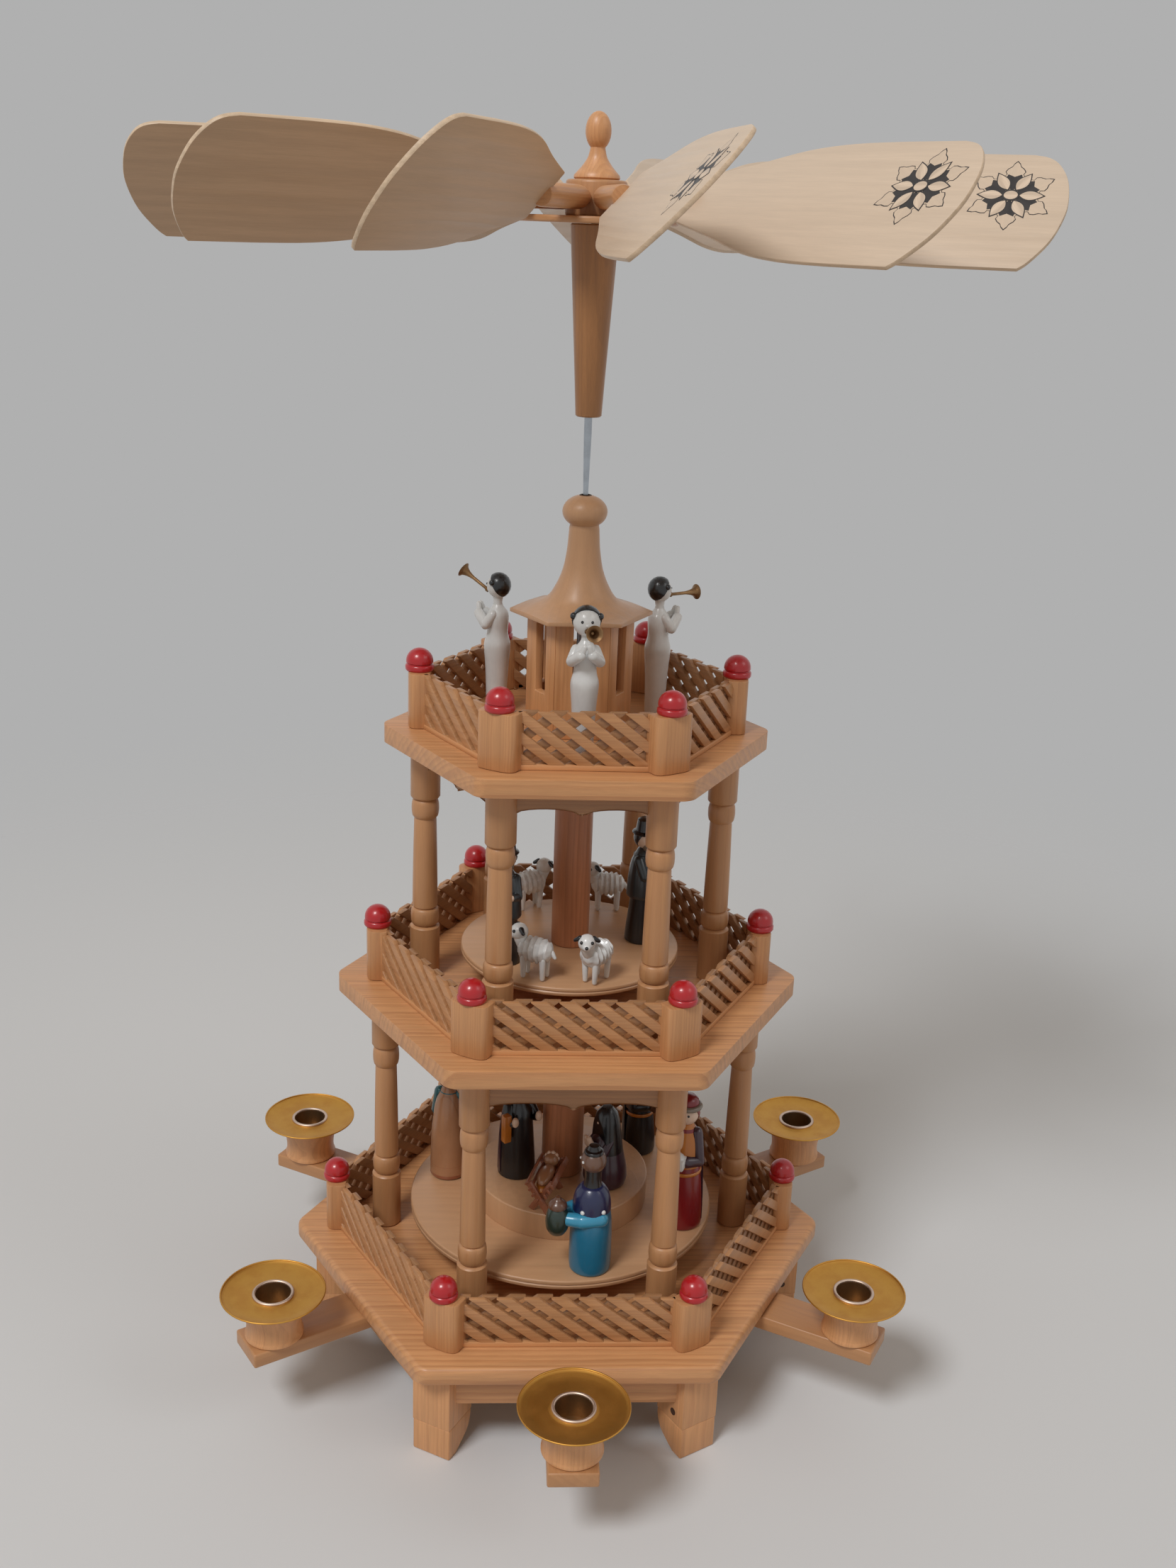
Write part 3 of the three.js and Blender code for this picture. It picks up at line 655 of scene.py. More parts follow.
def deck_board(radius, thickness, bore):
    """A hexagonal board with round corners and sanded edges, bored in the middle where the trunk passes."""
    bm = blank()
    bm.faces.new([bm.verts.new((x, y, 0)) for x, y in ellipse(radius, radius, around(SIDES))])
    setback = 0.87 * size("deck_corner") * math.tan(math.radians(STEP / 2))
    bmesh.ops.bevel(bm, geom=bm.verts[:], offset=setback, offset_type="OFFSET", segments=6, profile=0.5,
                    affect="VERTICES", material=-1)
    if bore:
        bmesh.ops.delete(bm, geom=bm.faces[:], context="FACES_ONLY")
        bmesh.ops.create_circle(bm, segments=48, radius=bore)
        bmesh.ops.triangle_fill(bm, edges=bm.edges[:], use_beauty=True, use_dissolve=False)
    thicken(bm, thickness)
    edge = size("deck_edge")
    soften(bm, edge, 4, 60, lying(thickness / 2, thickness + 1))
    return soften(bm, edge / 2, 2, 60, lying(-1, 0.01))


class PYRAMID_OT_decks(bpy.types.Operator):
    """Saw the three hexagonal decks"""

    bl_idname = "pyramid.decks"
    bl_label = "Decks"

    def execute(self, context):
        gap = 3
        bores = (0, box("lower_trunk")[1].x + gap, box("upper_trunk")[1].x + gap)
        # Each deck was sawn nearer to the pith than the one below it
        for level, (storey, bore) in enumerate(zip(STOREYS, bores)):
            node = storey + "_deck"
            low, high = box(node)
            board = deck_board(high.y / APOTHEM, high.z - low.z, bore)
            bm = blank()
            put(bm, board, moved(0, 0, low.z), cut=(0, 175 - 22 * level, 46), seed=level)
            make(storey + "_deck_board", bm, [finishes().pine("varnished_pine")], "stand", [node])
        return {"FINISHED"}


# Base: rails and feet under the lowest deck


def foot_outline(inner, outer, low, high, curve_foot):
    """The side view of a foot: its inner side curves down to a toe."""
    toe = 6
    curve = [(inner, curve_foot), (inner + 0.4, curve_foot * 0.62), (inner + 3.5, curve_foot * 0.3),
             (outer - toe, 0)]
    return [(outer, high), *[(x, z) for x, z in flow([(inner, high), *curve], 5) if z >= 0], (outer, low)]


class PYRAMID_OT_base(bpy.types.Operator):
    """Join six feet with notched rails"""

    bl_idname = "pyramid.base"
    bl_label = "Base"

    def execute(self, context):
        low, high = box("base_frame")
        arm_low, arm_high = box("candle_arm_4")
        play = 0.3
        rail_apothem, rail_foot, rail_thickness = box("lower_deck")[1].y - 9, high.z - 16.5, 8
        width, depth = 18.4, 18.5
        outer = high.x
        joint = high.z * 0.36
        outline = foot_outline(outer - depth, outer, low.z, high.z, high.z * 0.42)
        bm = blank()
        for index, azimuth in enumerate(around(SIDES)):
            side = turned_to(azimuth)
            rail = notched_board(rail_apothem, rail_thickness, rail_foot, high.z, arm_high.x + play,
                                 arm_low.z - play)
            put(bm, soften(rail, 0.5), side, 0, cut=(0, 40, 30), seed=index)
            for part, way in enumerate((-1, 1)):
                leg = upright(prism(outline, width))
                leg.transform(moved(0, width / 2, 0))
                saw(leg, (0, 0, joint), (0, 0, -way))
                put(bm, soften(leg, 0.7, 3), side, 2, ALONG_Z, (0, 52, 30), index + 7 + 0.2 * part)
            # A thin dark disc on the side of each foot paints the shade inside a pin hole
            pin = turn([(0, 0), (1.7, 0), (1.7, 0.25), (0, 0.25)], 16)
            pin_hole_shade = moved(outer - 7, 0.1 - width / 2, rail_foot * 0.78) @ tilted(90, "X")
            put(bm, pin, side @ pin_hole_shade, 1)
        dark = finishes().wood("pin_hole_shade", shade(70, 42, 26), shade(48, 28, 18), 2.0)
        made = [finishes().pine("varnished_pine"), dark, finishes().pine("pale_pine")]
        make("base_rails_and_feet", bm, made, "stand", ["base_frame"])
        return {"FINISHED"}


# Arcades: turned columns with scalloped valance boards


def column_profile(height, radius):
    """From the floor up: foot, groove, bead, a shaft that narrows upward, long bead, groove and head."""

    def at(share):
        return share * height

    groove = radius * 0.74
    foot = [(0, 0), (radius - 0.5, 0), (radius, 0.5), (radius, at(0.217)), (radius - 0.5, at(0.222)),
            (groove, at(0.226))]
    foot_bead = bead(radius * 0.84, at(0.264), at(0.034), radius * 0.11)
    shaft = [(radius * 0.84, at(0.308)), (radius * 0.83, at(0.4)), (radius * 0.79, at(0.55)),
             (radius * 0.74, at(0.68))]
    head_bead = bead(radius * 0.78, at(0.7275), at(0.037), radius * 0.13)
    head = [(groove, at(0.768)), (radius - 0.6, at(0.772)), (radius - 0.15, at(0.778)),
            (radius - 0.15, height - 0.5), (radius - 0.6, height), (0, height)]
    return [*foot, *foot_bead, (groove, at(0.301)), *shaft, (groove - 0.2, at(0.686)), *head_bead, *head]


def valance_outline(half, drop, height):
    """A board with two scallops between the heads of two columns."""
    shoulder, rise = 4, 3.2
    lobe = (half - shoulder) / 2
    scallops = [*ellipse(lobe, rise, range(180, -1, -15), (-lobe, drop)),
                *ellipse(lobe, rise, range(180, -1, -15), (lobe, drop))]
    return [(half, height), (-half, height), (-half, drop), *scallops, (half, drop)]


class PYRAMID_OT_arcades(bpy.types.Operator):
    """Turn the columns of both storeys and saw the valances between them"""

    bl_idname = "pyramid.arcades"
    bl_label = "Arcades"

    def execute(self, context):
        circles = (size("column_circle_low"), size("column_circle_high"))
        drops = (size("valance_low"), size("valance_high"))
        steps = context.scene.pyramid_sizes.turning_steps
        thickness = 4
        for level, (storey, circle, drop) in enumerate(zip(STOREYS, circles, drops)):
            node = storey + "_arcade"
            foot, height = box(node)[0].z, tall(node)
            bm = blank()
            for index, azimuth in enumerate(around(SIDES)):
                side = turned_to(azimuth)
                seed = index + 10 * level
                column = turn(column_profile(height, size("column_radius")), steps)
                put(bm, column, side @ moved(circle, 0, foot), 0, ALONG_Z, (0, 34, 22), seed)
                board = upright(prism(valance_outline(circle / 2, height - drop, height), thickness))
                place = side @ moved(0, thickness / 2 - circle * APOTHEM, foot)
                put(bm, soften(board, 0.5), place, 1, ALONG_X, (0, 60, 20), seed + 30)
            # The valances take the darker pine that paints their shade under the deck
            made = [finishes().pine("smooth_pine"), finishes().pine("shade_darkened_pine")]
            make(storey + "_columns", bm, made, "stand", [node])
        return {"FINISHED"}


# Fences: boards milled with crossing grooves, so that two layers of slats cross with diamond holes between


def slat_layer(width, height, depth, lean, shift, finish):
    """Slats leaning one way across a panel, one layer deep, cut off at the panel's rim."""
    bm = blank()
    pitch = size("slat_pitch")
    span = pitch - size("slat_gap")
    half = width / 2
    first = -int((half + abs(lean) * height) / pitch) - 1
    for index in range(first, -first + 1):
        foot = index * pitch + shift
        head = foot - lean * height
        slat = prism([(foot, 0), (foot + span, 0), (head + span, height), (head, height)], depth)
        for side in (1, -1):
            saw(slat, (side * half, 0, 0), (side, 0, 0))
        if not slat.faces:
            slat.free()
            continue
        bmesh.ops.remove_doubles(slat, verts=slat.verts, dist=WELD)
        put(bm, soften(slat, 0.35, 2, 30), None, finish, cut=(0, 60, 24), seed=index)
    return bm


def post_outline(width, depth):
    """The plan of a post: a square back, and a slightly bowed face with round corners."""
    edge = 3
    half = width / 2
    inner, outer = -depth / 2, depth / 2
    rounded = arc((outer - edge * 1.2, half - edge), edge, 90, 0, 5)
    face = [(x + edge * 0.2 * (1 - abs(y) / half), y) for x, y in rounded]
    crown = [(outer, y) for y in (half * 0.4, 0, -half * 0.4)]
    return [(inner, -half), (inner, half), *face, *crown, *[(x, -y) for x, y in reversed(face)]]


def cap_profile(radius, height):
    """A painted cap: a rolled collar, a groove and a dome."""
    roll = 0.9
    collar, spring, dome = height * 0.27, height * 0.42, radius - 0.35
    foot = [(radius - 0.5, 0), *arc((radius - roll, roll), roll, -60, 0, 3)]
    groove = [(radius, collar - 0.6), (radius - 0.3, collar), (radius - 0.8, collar + 0.3),
              (radius - 0.8, collar + 0.55)]
    crown = ellipse(dome, height - spring, range(12, 90, 11), (0, spring))
    return [(0, 0), *foot, *groove, (dome, collar + 1), (dome, spring), *crown, (0, height)]


class PYRAMID_OT_fences(bpy.types.Operator):
    """Mill the lattice panels and set the capped posts between them"""

    bl_idname = "pyramid.fences"
    bl_label = "Fences"

    def execute(self, context):
        height, width, depth = size("fence_height"), size("post_width"), size("post_depth")
        layer, lean, shift, tenon = 2.2, 1.3, 2, 1
        for level, storey in enumerate(STOREYS):
            node = storey + "_fence"
            low, high = box(node)
            circle = high.x - depth / 2
            panel = circle - width * APOTHEM + tenon
            bm = blank()
            for index, azimuth in enumerate(around(SIDES)):
                side = turned_to(azimuth)
                front = side @ moved(0, -circle * APOTHEM, low.z)
                # The back layer of slats takes the darker pine that paints its shade
                for way, back, aside, finish in ((lean, 0, 0, 0), (-lean, layer, shift, 3)):
                    slats = upright(slat_layer(panel, height, layer, way, aside, finish))
                    slats.transform(front @ moved(0, back, 0))
                    join(bm, slats)
                strip = plank(-panel / 2, panel / 2, -layer - 0.2, 0, 0, size("fence_rail"))
                put(bm, soften(strip, 0.3), front, 1, ALONG_X, (0, 48, 20), index)
                place = side @ moved(circle, 0, low.z)
                post = soften(prism(post_outline(width, depth), height), 0.6, 2, 50)
                put(bm, post, place, 4, ALONG_Z, (0, 50, 16), index + 10 * level)
                cap = turn(cap_profile(size("cap_radius"), size("cap_height")), 36)
                put(bm, cap, place @ moved(0, 0, height), 2, ALONG_Z, seed=index)
            made = [finishes().pine("slat_pine"), finishes().pine("pale_pine"), finishes().paint("red"),
                    finishes().pine("shade_darkened_pine"), finishes().pine("turned_pine")]
            make(storey + "_fence_panels", bm, made, "stand", [node])
        return {"FINISHED"}


# Candle holders, each an arm with a wooden cup and a brass drip plate that has its socket in the cup

CUP_HEIGHT = 19
SOCKET_DEPTH = 9
SOCKET_WALL = 0.5
SOCKET_LIP = 2.3
DISH_FLAT = 18.5
DISH_RISE = 2.9
DISH_THICKNESS = 0.9


def cup_profile(foot, waist, rim, socket, depth):
    """A wooden candle cup that flares upward from a narrow waist, hollowed for its brass socket."""
    height = CUP_HEIGHT
    brim, floor = height - 0.02, height - depth
    flare = flow([(foot - 0.4, height * 0.12), (waist + 0.1, height * 0.22), (waist, height * 0.34),
                  (waist + 0.35, height * 0.52), (waist + 1.1, height * 0.72), (rim, height * 0.95)])
    return [(0, 0), (foot - 0.6, 0), (foot, 0.6), (foot, height * 0.09), *flare, (rim, height - 0.5),
            (rim - 0.5, brim), (socket, brim), (socket, floor), (0, floor)]


def plate_profile(tube, radius):
    """A spun dish with an upturned rim, on the tube that holds the candle."""
    outer = tube + SOCKET_WALL
    foot = -SOCKET_DEPTH - SOCKET_WALL
    socket = [(0, foot), (outer - 0.4, foot), (outer, foot + 0.4), (outer, 0)]
    dish = flow([(outer + 1.2, 0), (DISH_FLAT * 0.8, 0), (DISH_FLAT, 0.25), (radius - 1.2, DISH_RISE * 0.62),
                 (radius - 0.15, DISH_RISE - 0.45)])
    rim = arc((radius - 0.5, DISH_RISE - 0.42), 0.42, -20, 200)
    inside = flow([(radius - 1.6, DISH_RISE * 0.66), (DISH_FLAT - 0.4, 0.25 + DISH_THICKNESS),
                   (DISH_FLAT * 0.8, DISH_THICKNESS), (outer + 1.6, DISH_THICKNESS)])
    mouth = [(outer + 0.2, SOCKET_LIP - 0.6), (tube, SOCKET_LIP - 0.4), (tube, -SOCKET_DEPTH),
             (0, -SOCKET_DEPTH)]
    return socket + dish + rim + inside + mouth


def in_socket(face, tube):
    """Whether a face of a drip plate lies inside its socket."""
    middle = face.calc_center_median()
    low, high = -SOCKET_DEPTH - SOCKET_WALL / 2, SOCKET_LIP - 0.5
    return math.hypot(middle.x, middle.y) < tube + 0.02 and low < middle.z < high


class PYRAMID_OT_candle_holders(bpy.types.Operator):
    """Make the six candle arms, their cups and brass drip plates"""

    bl_idname = "pyramid.candle_holders"
    bl_label = "Candle holders"

    def execute(self, context):
        tube, circle, half = size("socket_radius"), size("candle_circle"), size("arm_width") / 2
        low, high = box("candle_arm_4")
        cup_foot = high.z - CUP_HEIGHT
        room = SOCKET_WALL + 0.3
        cup = cup_profile(12.8, 12, 14.2, tube + room, SOCKET_DEPTH + room)
        roll = arc((tube + 0.72, SOCKET_LIP - 0.75), 0.78, 0, 360, 12)
        for index in range(SIDES):
            side = turned_to(FRONT + index * STEP)
            bm = blank()
            board = soften(plank(low.y, high.y, -half, half, low.z, cup_foot - 0.05), 0.9, 3)
            put(bm, board, side, 0, ALONG_X, (0, 46, 18), index)
            put(bm, turn(cup, 44), side @ moved(circle, 0, cup_foot), 1, ALONG_Z, (0, 40, 12), index + 9)
            made = [finishes().pine("smooth_pine"), finishes().pine("pale_pine")]
            make(f"candle_arm_board_{index + 1}", bm, made, "stand", [f"candle_arm_{index + 1}"])

            bm = blank()
            place = side @ moved(circle, 0, high.z)
            plate = turn(plate_profile(tube, size("plate_radius")), 56)
            # Faces inside the socket take the third finish, a darker metal that paints the shade in its hollow
            for face in plate.faces:
                face.material_index = 2 if in_socket(face, tube) else 0
            put(bm, plate, place, None, cut=(0, 0, 0))
            put(bm, turn(roll, 48), place, 1, cut=(0, 0, 0))
            dark = finishes().metal("socket_inside_shade", shade(164, 132, 96), shade(110, 84, 58), 0.4)
            made = [finishes().brass(), finishes().nickel(), dark]
            make(f"drip_plate_dish_{index + 1}", bm, made, "stand", [f"drip_plate_{index + 1}"])
        return {"FINISHED"}


# Crown: slotted cage, bell roof and bearings


def roof_profile(radius, neck, rise, globe, height, bore):
    """A bell roof with a ball on its neck, bored for the spindle."""
    bell = flow([(radius, 1.5), (radius * 0.84, 2.1), (radius * 0.67, rise * 0.1),
                 (radius * 0.49, rise * 0.18), (radius * 0.37, rise * 0.33), (radius * 0.28, rise * 0.52),
                 (radius * 0.232, rise * 0.74), (neck + 0.35, rise * 0.92), (neck + 0.2, rise - 0.2)], 5)
    half = (height - rise) / 2
    crown = ellipse(globe, half, range(-50, 80, 10), (0, rise + half))
    eaves = radius + 1.5
    return [(bore, 0), (eaves, 0), (eaves, 1.5), *bell, *crown, (bore, height - 0.2), (bore, 0)]


class PYRAMID_OT_crown(bpy.types.Operator):
    """Build the slotted cage, the bell roof with its ball and bush, and the foot bearing"""

    bl_idname = "pyramid.crown"
    bl_label = "Crown"

    def execute(self, context):
        low, high = box("crown_cage")
        thickness, slot_half, sill = 4, 3.9, 18
        bm = blank()
        for index, azimuth in enumerate(around(SIDES)):
            wall = notched_board(high.x * APOTHEM, thickness, 0, high.z - low.z, slot_half, sill)
            place = turned_to(azimuth) @ moved(0, 0, low.z)
            put(bm, soften(wall, 0.45), place, 0, ALONG_Z, (0, 44, 18), index)
        make("cage_walls", bm, [finishes().pine("pale_pine")], "stand", ["crown_cage"])

        low, high = box("bell_roof")
        neck, rise, globe, bore = 6.2, 36.3, 9.5, 2.2
        bm = blank()
        roof = turn(roof_profile(high.x, neck, rise, globe, high.z - low.z, bore), 72)
        for x, y in ellipse(1, 1, around(SIDES, STEP / 2)):
            out = Vector((x, y, 0))
            saw(roof, out * high.x * APOTHEM, out)
        soften(roof, 0.35, 2, 55, lying(-1, 12))
        put(bm, roof, moved(0, 0, low.z), 0, ALONG_Z, (0, 22, 12))
        inner, lid = bore - 0.3, 2.9
        bush = turn([(inner, -1), (4.4, -1), (4.6, 0.3), (3.6, 1.5), (2.7, 2.6), (2.3, lid), (inner, lid),
                     (inner, -1)], 32)
        put(bm, bush, moved(0, 0, high.z - lid), 1, cut=(0, 0, 0))
        dark = finishes().metal("dark_bush", shade(92, 66, 44), shade(50, 34, 24), 0.7)
        make("bell_roof_turning", bm, [finishes().disc_pine(), dark], "stand", ["bell_roof"])

        height = tall("bearing_cup")
        hollow = flow([(3.4, height - 0.3), (1.6, height - 2.2), (0, height - 3)], 3)
        cup = turn([(0, 0), (7.6, 0), (8, 0.5), (8, 2.2), (6.6, 3), (6.2, height - 0.5), (5.7, height),
                    (3.6, height), *hollow], 36)
        make_turned("spindle_bearing", cup, finishes().brass(), "stand", "bearing_cup", ALONG_X)
        return {"FINISHED"}


# Rotor: spindle, turntables, trunks, sleeve, hub and finial

SPINDLE_BORE = 1.9
TURNTABLE_RIM = 4.5
HUB_DISC = 2.6


def drum(radius, height, edge, bore=SPINDLE_BORE, groove=0.0, steps=72):
    """A turned disc with rounded rims and a bore, and with a groove round its edge unless that is zero."""
    middle = height / 2
    dip = [(radius, middle - groove), (radius - groove * 0.8, middle), (radius, middle + groove)]
    low = arc((radius - edge, edge), edge, -90, 0, 3)
    high = arc((radius - edge, height - edge), edge, 0, 90, 3)
    return turn([(bore, 0), *low, *(dip if groove else ()), *high, (bore, height), (bore, 0)], steps)


class PYRAMID_OT_rotor(bpy.types.Operator):
    """Turn the spindle, the two turntables, the trunks, the sleeve, the blade hub and the finial"""

    bl_idname = "pyramid.rotor"
    bl_label = "Rotor"

    def execute(self, context):
        radius, reach = 1.6, tall("spindle_rod")
        waist = top("bell_roof") + 2 - box("spindle_rod")[0].z
        rod = turn([(0, 0), (0.25, 0.4), (radius, 4), (radius, waist - 30), (1.1, waist),
                    (radius, waist + 22), (radius, reach), (0, reach)], 28)
        make_turned("spindle_shaft", rod, finishes().steel(), "rotor", "spindle_rod")

        low, high = box("lower_turntable")
        sunk = 0.3
        bm = blank()
        disc = drum(high.x, TURNTABLE_RIM, 0.9, groove=0.5)
        put(bm, disc, moved(0, 0, low.z), 0, ALONG_X, (0, 150, 60), 3)
        stage = drum(41, high.z - low.z - TURNTABLE_RIM + sunk, 0.8)
        put(bm, stage, moved(0, 0, low.z + TURNTABLE_RIM - sunk), 0, ALONG_Z, (0, 12, 9))
        make("lower_turntable_disc", bm, [finishes().disc_pine()], "rotor", ["lower_turntable"])

        disc = drum(box("middle_turntable")[1].x, tall("middle_turntable"), 0.9, groove=0.5)
        make_turned("middle_turntable_disc", disc, finishes().disc_pine(), "rotor", "middle_turntable",
                    ALONG_X, (0, 130, 40), 5)

        for node, seed in (("lower_trunk", 0), ("upper_trunk", 2)):
            dowel = drum(box(node)[1].x, tall(node), 0.6, steps=40)
            make_turned(node + "_dowel", dowel, finishes().stained(), "rotor", node,
                        cut=(0, 30, 20), seed=seed)

        height, head = tall("spindle_sleeve"), box("spindle_sleeve")[1].x
        sleeve = turn([(SPINDLE_BORE, 0), (4.9, 0), (5.4, 0.5), (6.2, height * 0.2), (9.5, height * 0.93),
                       (head, height - 0.6), (head - 0.5, height), (SPINDLE_BORE, height),
                       (SPINDLE_BORE, 0)])
        make_turned("spindle_sleeve_turning", sleeve, finishes().sleeve_wood(), "rotor", "spindle_sleeve",
                    cut=(0, 26, 18))

        low, high = box("blade_hub")
        sunk = 0.2
        bm = blank()
        put(bm, drum(high.x, HUB_DISC, 0.8), moved(0, 0, low.z), 0, ALONG_X, (0, 90, 30), 2)
        barrel = drum(12.1, high.z - low.z - HUB_DISC + sunk, 1.2, 0.05)
        put(bm, barrel, moved(0, 0, low.z + HUB_DISC - sunk), 0, ALONG_Z, (0, 16, 10))
        make("blade_hub_turning", bm, [finishes().pine("smooth_pine")], "rotor", ["blade_hub"])

        height = tall("finial")
        neck = height * 0.43
        foot = flow([(8.1, 2.6), (5.9, 5), (3.9, 8), (3.1, neck)])[1:]
        egg = ellipse(5.1, 7.3, range(-55, 90, 12), (0, neck + 7))
        knob = turn([(0, 0), (8.7, 0), (9.2, 0.6), (9, 1.6), *foot, *egg, (0, height)])
        make_turned("finial_knob", knob, finishes().pine("pale_pine"), "rotor", "finial",
                    cut=(0, 14, 9))
        return {"FINISHED"}


# Wing blades, with their rosettes as films laid on the wood

BLADES = 12
FIRST_BLADE = 6.5
BLADE_PITCH = 47
ROSETTE_OUT, ROSETTE_ASIDE = 159, 7
FILM = 0.3

# The order of a blade's finishes
BARE, INK, PAPER, EDGE, STEM, SHADED_UNDERSIDE = range(6)


def blade_finishes():
    ink = finishes().wood("rosette_ink", shade(44, 38, 36), shade(34, 28, 28), 4.0)
    paper = finishes().wood("rosette_paint", shade(222, 202, 180), shade(214, 190, 166), 4.0, 0.3)
    edge = finishes().wood("sawn_lime_edge", shade(222, 198, 170), shade(202, 176, 146), 2.0, 0.4)
    # The lower faces take a darker copy of the lime wood, which paints the shade under the blades
    shaded_underside = finishes().wood("lime_painted_shade", shade(192, 162, 132), shade(178, 148, 118), 4.5, 0.2, 9.0, 0.5,
                              0.00005)
    return [finishes().lime(), ink, paper, edge, finishes().pine("turned_pine"), shaded_underside]


def blade_outline(root, shoulder, tip, root_half, half):
    """The plan of a blade: it swells from its root and ends in a bow, rounder at the leading side."""
    swell = flow([(root, root_half), (root + 22, half * 0.63), (shoulder - 20, half * 0.87),
                  (shoulder, half * 0.975), (shoulder + 22, half)])
    bow = flow([(tip - 13, -half), (tip - 9.4, -half * 0.86), (tip - 3.6, -half * 0.5),
                (tip - 0.5, -half * 0.1), (tip, half * 0.2), (tip - 1.6, half * 0.56),
                (tip - 5.2, half * 0.82), (tip - 9.4, half * 0.95), (tip - 15, half)])
    return [*[(x, -y) for x, y in swell], *bow, *reversed(swell)]


def blade_board(thickness):
    """A bare blade along X. Its lower face takes a darker copy of the lime wood, which paints the shade under
    it.
    """
    outline = blade_outline(root=55, shoulder=118, tip=179.7, root_half=11, half=27)
    board = soften(prism(outline, thickness, -thickness / 2), 0.45, 2, 40)
    for face in board.faces:
        up = face.normal.z
        face.material_index = BARE if up > 0.6 else SHADED_UNDERSIDE if up < -0.6 else EDGE
    return board


def blade_stem():
    """A stem along X: a pin for the hub, a shoulder, and a bar that the blade is let into."""
    shoulder = flow([(3.1, 14), (4.1, 17.5), (4.5, 21)], 3)
    stem = turn([(0, 8.3), (1.45, 8.3), (1.45, 12.4), (2.5, 12.4), (2.7, 12.9), *shoulder, (4.5, 56.6),
                 (4.1, 57.7), (2.2, 58), (0, 58)], 24)
    stem.transform(tilted(90, "Y"))
    return stem


def stamp(bm, outline, place, level, finish):
    """Lays a shape on a board as a thin film of ink or paint."""
    put(bm, prism(outline, FILM, level - FILM), place, finish)


def leaf(start, reach, width, teeth=False):
    """A pointed leaf along X, with a toothed rim where it has teeth."""
    steps = 10
    rim = []
    for step in range(steps + 1):
        t = step / steps
        bulge = math.sin(math.pi * t ** 0.85)
        notch = 0.74 if teeth and step % 3 == 2 else 1.0
        rim.append((start + (reach - start) * t, width / 2 * bulge * notch))
    return rim + [(x, -y) for x, y in rim[-2:0:-1]]


def wedge(start, reach, width, blunt):
    """A wedge along X that widens outward and ends in a notch."""
    return [(start, 0), (reach - blunt, width / 2), (reach, width * 0.4), (reach - blunt * 0.7, 0),
            (reach, -width * 0.4), (reach - blunt, -width / 2)]


def within(outline, share):
    """An outline drawn smaller inside itself."""
    middle = (min(x for x, _ in outline) + max(x for x, _ in outline)) / 2
    return [(middle + (x - middle) * share, y * share) for x, y in outline]


def rosette(bm, place, reach, petals):
    """A rosette of petals over dark wedges and toothed leaves, drawn as on folk carving."""
    bract = leaf(reach * 0.2, reach, reach * 0.5, True)
    dart = wedge(reach * 0.08, reach * 0.6, reach * 0.36, reach * 0.1)
    petal = leaf(reach * 0.14, reach * 0.74, reach * 0.29)
    on_petals = [place @ turned_to(azimuth) for azimuth in around(petals)]
    between_petals = [place @ turned_to(azimuth) for azimuth in around(petals, 180 / petals)]
    for side in between_petals:
        stamp(bm, bract, side, 0.03, INK)
        stamp(bm, within(bract, 0.91), side, 0.06, BARE)
    for side in between_petals:
        stamp(bm, dart, side, 0.09, INK)
    for side in on_petals:
        stamp(bm, petal, side, 0.12, INK)
        stamp(bm, within(petal, 0.85), side, 0.15, PAPER)
    stamp(bm, ellipse(reach * 0.19, reach * 0.16, around(20)), place, 0.18, INK)
    stamp(bm, ellipse(reach * 0.15, reach * 0.12, around(20)), place, 0.21, PAPER)


class PYRAMID_OT_blades(bpy.types.Operator):
    """Saw the twelve wing blades, glue them to their stems and draw their rosettes"""

    bl_idname = "pyramid.blades"
    bl_label = "Wing blades"

    def execute(self, context):
        thickness, reach = size("blade_thickness"), size("rosette_radius")
        petals = context.scene.pyramid_sizes.rosette_petals
        low, high = box("blade_hub")
        level = (low.z + HUB_DISC + high.z) / 2
        for index, azimuth in enumerate(around(BLADES, FIRST_BLADE)):
            bm = blank()
            place = turned_to(azimuth) @ moved(0, 0, level) @ tilted(BLADE_PITCH, "X")
            put(bm, blade_board(thickness), place, None, ALONG_X, (0, 44, 26), index)
            put(bm, blade_stem(), place, STEM, ALONG_X, (0, 14, 8), index)
            rosette(bm, place @ moved(ROSETTE_OUT, ROSETTE_ASIDE, thickness / 2), reach, petals)
            make(f"wing_blade_board_{index + 1}", bm, blade_finishes(), f"blade_{index + 1}",
                 [f"wing_blade_{index + 1}"])
        return {"FINISHED"}


# Figures

# A figure's foot stays this far above what it stands on
CLEAR = 0.1


